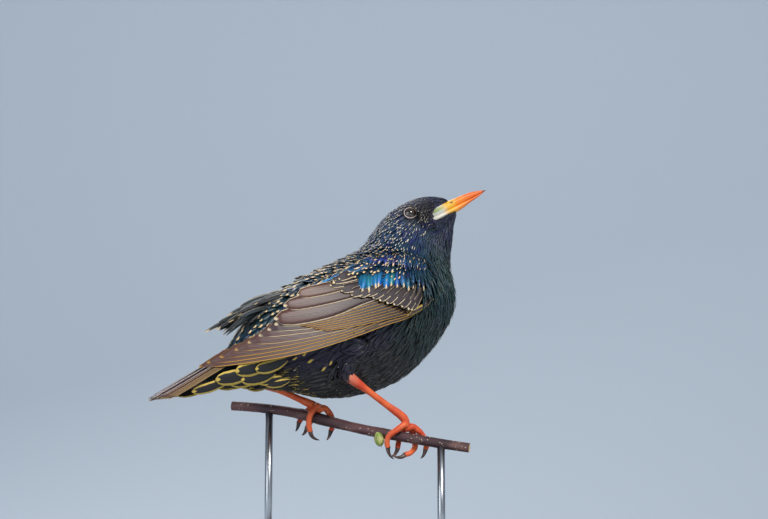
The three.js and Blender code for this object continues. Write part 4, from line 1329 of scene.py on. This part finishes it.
bark = Finish("twigBark", Roughness=0.5, IOR=1.45)
barkFlow = bark.noise(240.0, 4.0, stretch=(0.25, 1.0, 1.0))
barkPatch = bark.noise(45.0, 3.0)
barkColour = bark.mix(barkPatch.step(0.35, 0.7), "#2c1a1f", "#5c3a3c")
barkColour = bark.mix(barkFlow.step(0.5, 0.72) * 0.5, barkColour, "#83625a")
barkMaterial = bark.put(Base_Color=barkColour, Roughness=0.42 + barkFlow * 0.25)
bark.bump(barkFlow, 0.0003, 0.6)
bm = bmesh.new()
limb(bm, twig, twigRadius, 220, 32, (0, 0, 1.0))
addShape("twig_bark_tube", bm, barkMaterial, "twig_bark", ["perch_twig"])

bm = bmesh.new()
chance = random.Random(21)
for _ in range(twigLook["lenticels"]):
    t, angle = chance.uniform(0.01, 0.99), chance.uniform(0, 2 * math.pi)
    centre, far, up = twigFrame(twig.at(t)[0])
    out = up * math.cos(angle) + far * math.sin(angle)
    made = bmesh.ops.create_icosphere(bm, subdivisions=1, radius=1.0)["verts"]
    size = chance.uniform(0.12, 0.26)
    run = np.cross(far, up)
    for vert in made:
        x, y, z = vert.co
        spot = centre + out * (twigRadius(t, angle) * 0.985 + z * 0.1)
        vert.co = Vector(spot + run * x * size * 1.7 + np.cross(run, out) * y * size)
lenticelMaterial = Finish("lenticel", Roughness=0.8).put(Base_Color="#c9b6a2")
addShape("twig_lenticels", bm, lenticelMaterial, "twig_bark")

cut = Finish("cutWood", Roughness=0.8)
cutMaterial = cut.put(Base_Color=cut.mix(cut.noise(500.0), "#c8ad82", "#a88a5e"))
bm = bmesh.new()
for t, outward in ((0.0, -1), (1.0, 1)):
    run = twig.tangent(t)
    radius = twigRadius(t, 0.0) * 0.86
    made = bmesh.ops.create_circle(bm, cap_ends=True, segments=32, radius=radius)["verts"]
    turn = Vector(run * outward).to_track_quat("Z", "Y")
    for vert in made:
        vert.co = turn @ vert.co + Vector(twig.at(t) + run * outward * 0.06)
bmesh.ops.solidify(bm, geom=bm.faces[:], thickness=0.1)
addShape("twig_cuts", bm, cutMaterial, "twig_bark", smooth=False)

# Bud: a core with scales that overlap towards the tip. Its place is x, angle and distance on the twig.
budLook = {"place": (9.4, -128, 4.8), "half": (2.0, 1.8, 3.4), "scales": 9, "turn": 2.4, "lean": -12}
budWide, budDeep, budTall = budLook["half"]
budFinish = Finish("budScales", Roughness=0.55)
budTone = budFinish.noise(420.0, 3.0)
budColour = budFinish.mix(budTone.step(0.35, 0.65), "#6f8a34", "#a9a86a")
budMaterial = budFinish.put(Base_Color=budColour)
budFinish.put(Subsurface_Weight=0.1, Subsurface_Radius=(0.001, 0.001, 0.0005))
budFinish.bump(budTone, 0.0002, 0.5)
budCentre = roundTwig(*budLook["place"])
bm = bmesh.new()
made = bmesh.ops.create_uvsphere(bm, u_segments=28, v_segments=18, radius=1.0)["verts"]
for vert in made:
    vert.co = Vector((vert.co.x * budWide, vert.co.y * budDeep, vert.co.z * budTall - 0.1))
for k in range(budLook["scales"]):
    height = 0.9 - 0.42 * k
    made = bmesh.ops.create_grid(bm, x_segments=6, y_segments=8, size=1.0)
    for vert in made["verts"]:
        x, y = vert.co.x, vert.co.y
        narrow = math.sqrt(max(0.0, 1 - ((y + 0.2) / 1.2) ** 2)) if y > -0.2 else 1.0
        angle = k * budLook["turn"] + x * 0.75 * narrow
        z = height + y * 1.5
        ring = math.sqrt(max(0.02, 1 - min(0.98, abs(z) / 3.6) ** 2)) * (1.07 + 0.015 * k)
        vert.co = Vector((math.cos(angle) * budWide * ring, math.sin(angle) * budDeep * ring, z))
    faces = list(dict.fromkeys(f for v in made["verts"] for f in v.link_faces))
    bmesh.ops.solidify(bm, geom=faces, thickness=-0.14)
lean = Matrix.Rotation(math.radians(budLook["lean"]), 3, "Y")
bmesh.ops.rotate(bm, matrix=lean, verts=bm.verts[:])
bmesh.ops.translate(bm, vec=budCentre, verts=bm.verts[:])
addShape("bud_scales", bm, budMaterial, "bud_green", ["perch_bud"])
print("perch made")

# Legs: tarsus and toes in one skin
legLook = {
    "right": {"heel": (-7.2, -17.6, 99.6), "joint": (19.4, -6.4, 80.3), "foot": 20.4, "hidden": 7.5, "toes": {
        1: [(-0.8, -25, 6.2), (-3.6, -62, 5.2), (-6.4, -98, 4.9), (-7.0, -128, 5.6), (-6.2, -148, 7.4)],
        2: [(-1.4, 25, 6.0), (-2.6, 62, 5.1), (-3.4, 98, 4.8), (-3.4, 132, 5.2), (-3.0, 158, 6.4)],
        3: [(0.6, 25, 6.0), (2.2, 62, 5.1), (3.6, 98, 4.8), (4.4, 135, 5.2), (3.6, 166, 6.4),
            (1.4, 186, 8.2)],
        4: [(2.2, 15, 5.7), (5.0, 38, 5.2), (7.6, 70, 4.7), (9.2, 104, 4.8), (9.4, 138, 5.4)]},
        "claws": {1: (3.6, -16, 4.0), 2: (-2.2, 22, 3.6), 3: (-5.2, 24, 2.4), 4: (-1.4, 26, 3.2)}},
    "left": {"heel": (-49.0, -9.8, 97.6), "joint": (-22.4, 3.4, 86.6), "foot": -21.2, "hidden": 4.0, "toes": {
        1: [(-0.8, -25, 6.2), (-1.8, -62, 5.2), (-2.2, -98, 5.0), (-1.6, -128, 6.2), (-0.2, -150, 8.2)],
        2: [(-2.2, 20, 5.9), (-5.2, 48, 5.2), (-7.2, 80, 4.7), (-8.2, 112, 4.8), (-8.6, 140, 5.4)],
        3: [(-0.6, 25, 6.0), (-1.8, 62, 5.1), (-3.0, 98, 4.7), (-3.6, 132, 5.0), (-3.8, 160, 6.0)],
        4: [(1.8, 18, 5.8), (4.2, 42, 5.2), (6.0, 74, 4.7), (6.8, 108, 4.8), (6.8, 140, 5.6)]},
        "claws": {1: (4.6, -18, 1.6), 2: (-0.4, 26, 3.2), 3: (-1.0, 24, 3.4), 4: (-0.6, 26, 3.4)}},
    "tarsusRadii": (2.3, 2.2, 2.65, 2.15, 1.6, 1.5, 1.5, 1.6, 1.9, 2.05, 1.6),
    "toeRadii": (1.6, 1.5, 1.4, 1.3, 1.2), "palm": 2.1, "scute": 1.5, "voxel": 0.2}

legFinish = Finish("legSkin", Roughness=0.42, IOR=1.45)
scutes = legFinish.attribute("scute")
phase, heelShare, front = legFinish.split(scutes)
legGrain = legFinish.noise(520.0, 4.0)
legPatch = legFinish.noise(110.0, 2.0)
groove = phase.step(0.0, 0.1) * (1.0 - phase.step(0.93, 1.0))
legColour = legFinish.mix(legPatch.step(0.3, 0.7), "#ba3a1b", "#d2602f")
legColour = legFinish.mix(heelShare, legColour, "#c9745a")
legColour = legFinish.mix((1.0 - groove) * front * 0.38, legColour, "#7d2717")
legColour = legFinish.mix(legGrain.step(0.55, 0.8) * 0.3, legColour, "#8f3a26")
legMaterial = legFinish.put(Base_Color=legColour, Roughness=0.36 + legGrain * 0.2)
legFinish.put(Subsurface_Weight=0.08, Subsurface_Radius=(0.002, 0.0007, 0.0004))
legFinish.bump(groove * (0.3 + front * 0.4) + legGrain * 0.35 + legPatch * 0.5, 0.00018, 0.7)
claw = Finish("clawHorn", Roughness=0.3)
clawShade = claw.noise(260.0, 2.0)
clawMaterial = claw.put(Base_Color=claw.mix(clawShade.step(0.35, 0.65), "#1c1311", "#5a3e33"))


# Radius rule from radii at even places, with pads swelling the underside between the knuckles.
def radiusFrom(radii, pads=0.0, knuckles=4):
    places = np.linspace(0, 1, len(radii))

    def radius(t, angle):
        r = np.interp(t, places, radii)
        under = max(0.0, -math.cos(angle))
        return r * (1 + pads * under * math.sin(t * knuckles * math.pi) ** 2)

    return radius


# One leg: tarsus and toes joined to one skin with scutes, and the claws as a piece of their own.
def buildLeg(side):
    look = legLook[side]
    heel, joint = np.array(look["heel"]), np.array(look["joint"])
    palm = roundTwig(look["foot"], 0, 4.6)
    shaft = joint - heel
    shin = unit(thighs[side][0] - heel)
    tarsus = Curve([heel + shin * look["hidden"], heel + shin * 2.4, heel + shaft * 0.045,
                    heel + shaft * 0.35, heel + shaft * 0.7, joint, palm])
    lines = [(tarsus, 0.0)]
    bm = bmesh.new()
    limb(bm, tarsus, radiusFrom(legLook["tarsusRadii"]), 90, 24, (0, 0, 1.0))
    made = bmesh.ops.create_icosphere(bm, subdivisions=3, radius=legLook["palm"])["verts"]
    bmesh.ops.translate(bm, vec=palm, verts=made)
    claws = bmesh.new()
    for number, path in look["toes"].items():
        points = [palm] + [roundTwig(look["foot"] + off, angle, out) for off, angle, out in path]
        toe = Curve(points)
        outward = points[2] - twigFrame(points[2][0])[0]
        limb(bm, toe, radiusFrom(legLook["toeRadii"], 0.22), 60, 20, outward)
        lines.append((toe, 1.0))
        off, angle, out = path[-1]
        onward, turned, outwards = look["claws"][number]
        hook = []
        for share in np.linspace(-0.12, 1, 6):
            reach = max(0.0, share)
            bulge = 0.9 * math.sin(math.pi * reach)
            hook.append(roundTwig(look["foot"] + off + onward * reach ** 1.3, angle + turned * share,
                                  out + outwards * share + bulge))
        hook = Curve(hook)
        limb(claws, hook, lambda t, angle: 1.12 * (1 - t) ** 0.75 + 0.06, 30, 16, outward)
    addShape(f"claws_{side}", claws, clawMaterial, "claw_horn", [f"claw_{side}_{n}" for n in look["toes"]])

    bmesh.ops.recalc_face_normals(bm, faces=bm.faces[:])
    mesh = joined(bake(f"leg_{side}", bm, mm), legLook["voxel"], 4, 0.5)
    addMesh(f"leg_{side}_skin", mesh, legMaterial, "leg_skin",
            [f"tarsus_{side}"] + [f"toe_{side}_{n}" for n in look["toes"]])
    points = readVerts(mesh) / mm
    best = np.full(len(points), 1e9)
    scute = np.zeros((len(points), 4))
    for curve, toe in lines:
        for part in np.linspace(0, 1, 200):
            far = ((points - curve.at(part)) ** 2).sum(1)
            near = far < best
            best[near] = far[near]
            run = part * curve.length
            scute[near, 0] = (run / legLook["scute"]) % 1.0
            scute[near, 1] = 0.0 if toe else np.interp(run, (0, 9, 15), (1, 1, 0))
            scute[near, 2] = 1.0 if toe else 0.55
    layer = mesh.attributes.new("scute", "FLOAT_COLOR", "POINT")
    layer.data.foreach_set("color", scute.ravel())


for side, _ in bothSides:
    buildLeg(side)
print("legs made")

# Stand: a slab with rounded corners and two rods with collars
standLook = {"size": (150, 92, 10), "corner": 14, "edge": 1.2,
             "rods": {"stand_rod_left": -44, "stand_rod_right": 37}, "rodRadius": 1.8, "rodFoot": 6.0,
             "rodTop": 0.75, "collarRadii": (3.2, 2.7), "collar": (9.9, 12.4)}
wood = Finish("baseWood", Roughness=0.38, IOR=1.5)
woodFlow = wood.noise(26.0, 5.0, stretch=(0.35, 5.0, 2.0))
fibre = wood.noise(180.0, 3.0, stretch=(0.08, 4.0, 1.0))
woodColour = wood.mix(woodFlow.step(0.35, 0.68), "#2b1810", "#5d3a24")
woodColour = wood.mix(fibre.step(0.5, 0.7) * 0.5, woodColour, "#1c100a")
woodMaterial = wood.put(Base_Color=woodColour, Roughness=0.32 + fibre * 0.2)
wood.bump(fibre, 0.0001, 0.4)
wood.put(Coat_Weight=0.25)
bm = bmesh.new()
bmesh.ops.create_cube(bm, size=1.0)
bmesh.ops.scale(bm, vec=standLook["size"], verts=bm.verts[:])
bmesh.ops.translate(bm, vec=(0, 0, standLook["size"][2] / 2), verts=bm.verts[:])
upright = [e for e in bm.edges if abs(e.verts[0].co.z - e.verts[1].co.z) > 5]
bmesh.ops.bevel(bm, geom=upright, offset=standLook["corner"], segments=14, profile=0.5, affect="EDGES",
                material=-1)
rims = [e for e in bm.edges if abs(e.verts[0].co.z - e.verts[1].co.z) < 0.1 and len(e.link_faces) == 2
        and abs(e.link_faces[0].normal.z - e.link_faces[1].normal.z) > 0.5]
bmesh.ops.bevel(bm, geom=rims, offset=standLook["edge"], segments=4, profile=0.5, affect="EDGES", material=-1)
addShape("base_slab", bm, woodMaterial, "base_wood", ["stand_base"], smooth=False)

steel = Finish("rodSteel", Metallic=1.0, Roughness=0.24)
brushed = steel.noise(300.0, 2.0, stretch=(1.0, 1.0, 0.05))
steelColour = steel.mix(brushed, "#8f949a", "#b9bdc2")
steelMaterial = steel.put(Base_Color=steelColour, Roughness=0.2 + brushed * 0.15)
for name, x in standLook["rods"].items():
    centre = twigFrame(x)[0]
    bm = bmesh.new()
    rod = Curve([(*centre[:2], standLook["rodFoot"]), centre - (0, 0, standLook["rodTop"])])
    limb(bm, rod, lambda t, angle: standLook["rodRadius"], 2, 40, (0, 1.0, 0))
    collar = Curve([(*centre[:2], height) for height in standLook["collar"]])
    limb(bm, collar, lambda t, angle: lerp(*standLook["collarRadii"], t ** 3), 8, 40, (0, 1.0, 0))
    addShape(name + "_steel", bm, steelMaterial, "rod_metal", [name])
print("stand made")

# Camera, light and floor
cameraLook = {"place": (10.5, -903.0, 12.0), "aimHeight": 156.0, "lens": 90.0}
cameraData = bpy.data.cameras.new("camera")
camera = addObject("camera", cameraData)
camera.location = Vector(cameraLook["place"]) * mm
rise = math.atan2(cameraLook["aimHeight"] - cameraLook["place"][2], -cameraLook["place"][1])
camera.rotation_euler = (math.pi / 2 + rise, 0, 0)
cameraData.lens = cameraLook["lens"]
cameraData.sensor_width = 36
cameraData.clip_start = 0.01
scene.camera = camera

# The floor bends up into a backdrop behind the bird.
floorLook = {"front": -3500.0, "flatEnd": 900.0, "bend": 700.0, "top": 3600.0, "width": 9000.0}
backdrop = bmesh.new()
wrapped = bmesh.ops.create_grid(backdrop, x_segments=2, y_segments=40, size=0.5)["verts"]
for vert in wrapped:
    t = vert.co.y + 0.5
    front, flatEnd, bend, top = floorLook["front"], floorLook["flatEnd"], floorLook["bend"], floorLook["top"]
    if t < 0.4:
        y, z = lerp(front, flatEnd, t / 0.4), 0.0
    elif t < 0.8:
        turn = (t - 0.4) / 0.4 * math.pi / 2
        y, z = flatEnd + bend * math.sin(turn), bend * (1 - math.cos(turn))
    else:
        y, z = flatEnd + bend, lerp(bend, top, (t - 0.8) / 0.2)
    vert.co = (vert.co.x * floorLook["width"], y, z)
floorMesh = bake("floor", backdrop, mm)
floorMesh.materials.append(Finish("paleFloor", Roughness=0.9).put(Base_Color="#c9d3dd"))
floor = addObject("floor", floorMesh)

lamps = {
    "key": ((0.55, -1.0, 1.0), 0.6, 22.0, (1.0, 0.97, 0.93)),
    "fill": ((-0.9, -0.8, 0.35), 0.9, 6.0, (0.92, 0.96, 1.0)),
    "rim": ((-0.35, 0.75, 0.9), 0.6, 5.0, (1.0, 0.98, 0.95)),
}
for name, (spot, size, power, colour) in lamps.items():
    data = bpy.data.lights.new(name, "AREA")
    data.size = size
    data.energy = power
    data.color = colour
    lamp = addObject(name, data)
    lamp.location = spot
    lamp.rotation_euler = (Vector((0, 0, 0.14)) - Vector(spot)).to_track_quat("-Z", "Y").to_euler()
world = bpy.data.worlds.new("studio")
scene.world = world
world.use_nodes = True
world.node_tree.nodes["Background"].inputs[0].default_value = rgba("#cdd8e6")
world.node_tree.nodes["Background"].inputs[1].default_value = 0.5
print("camera, floor and lamps set")
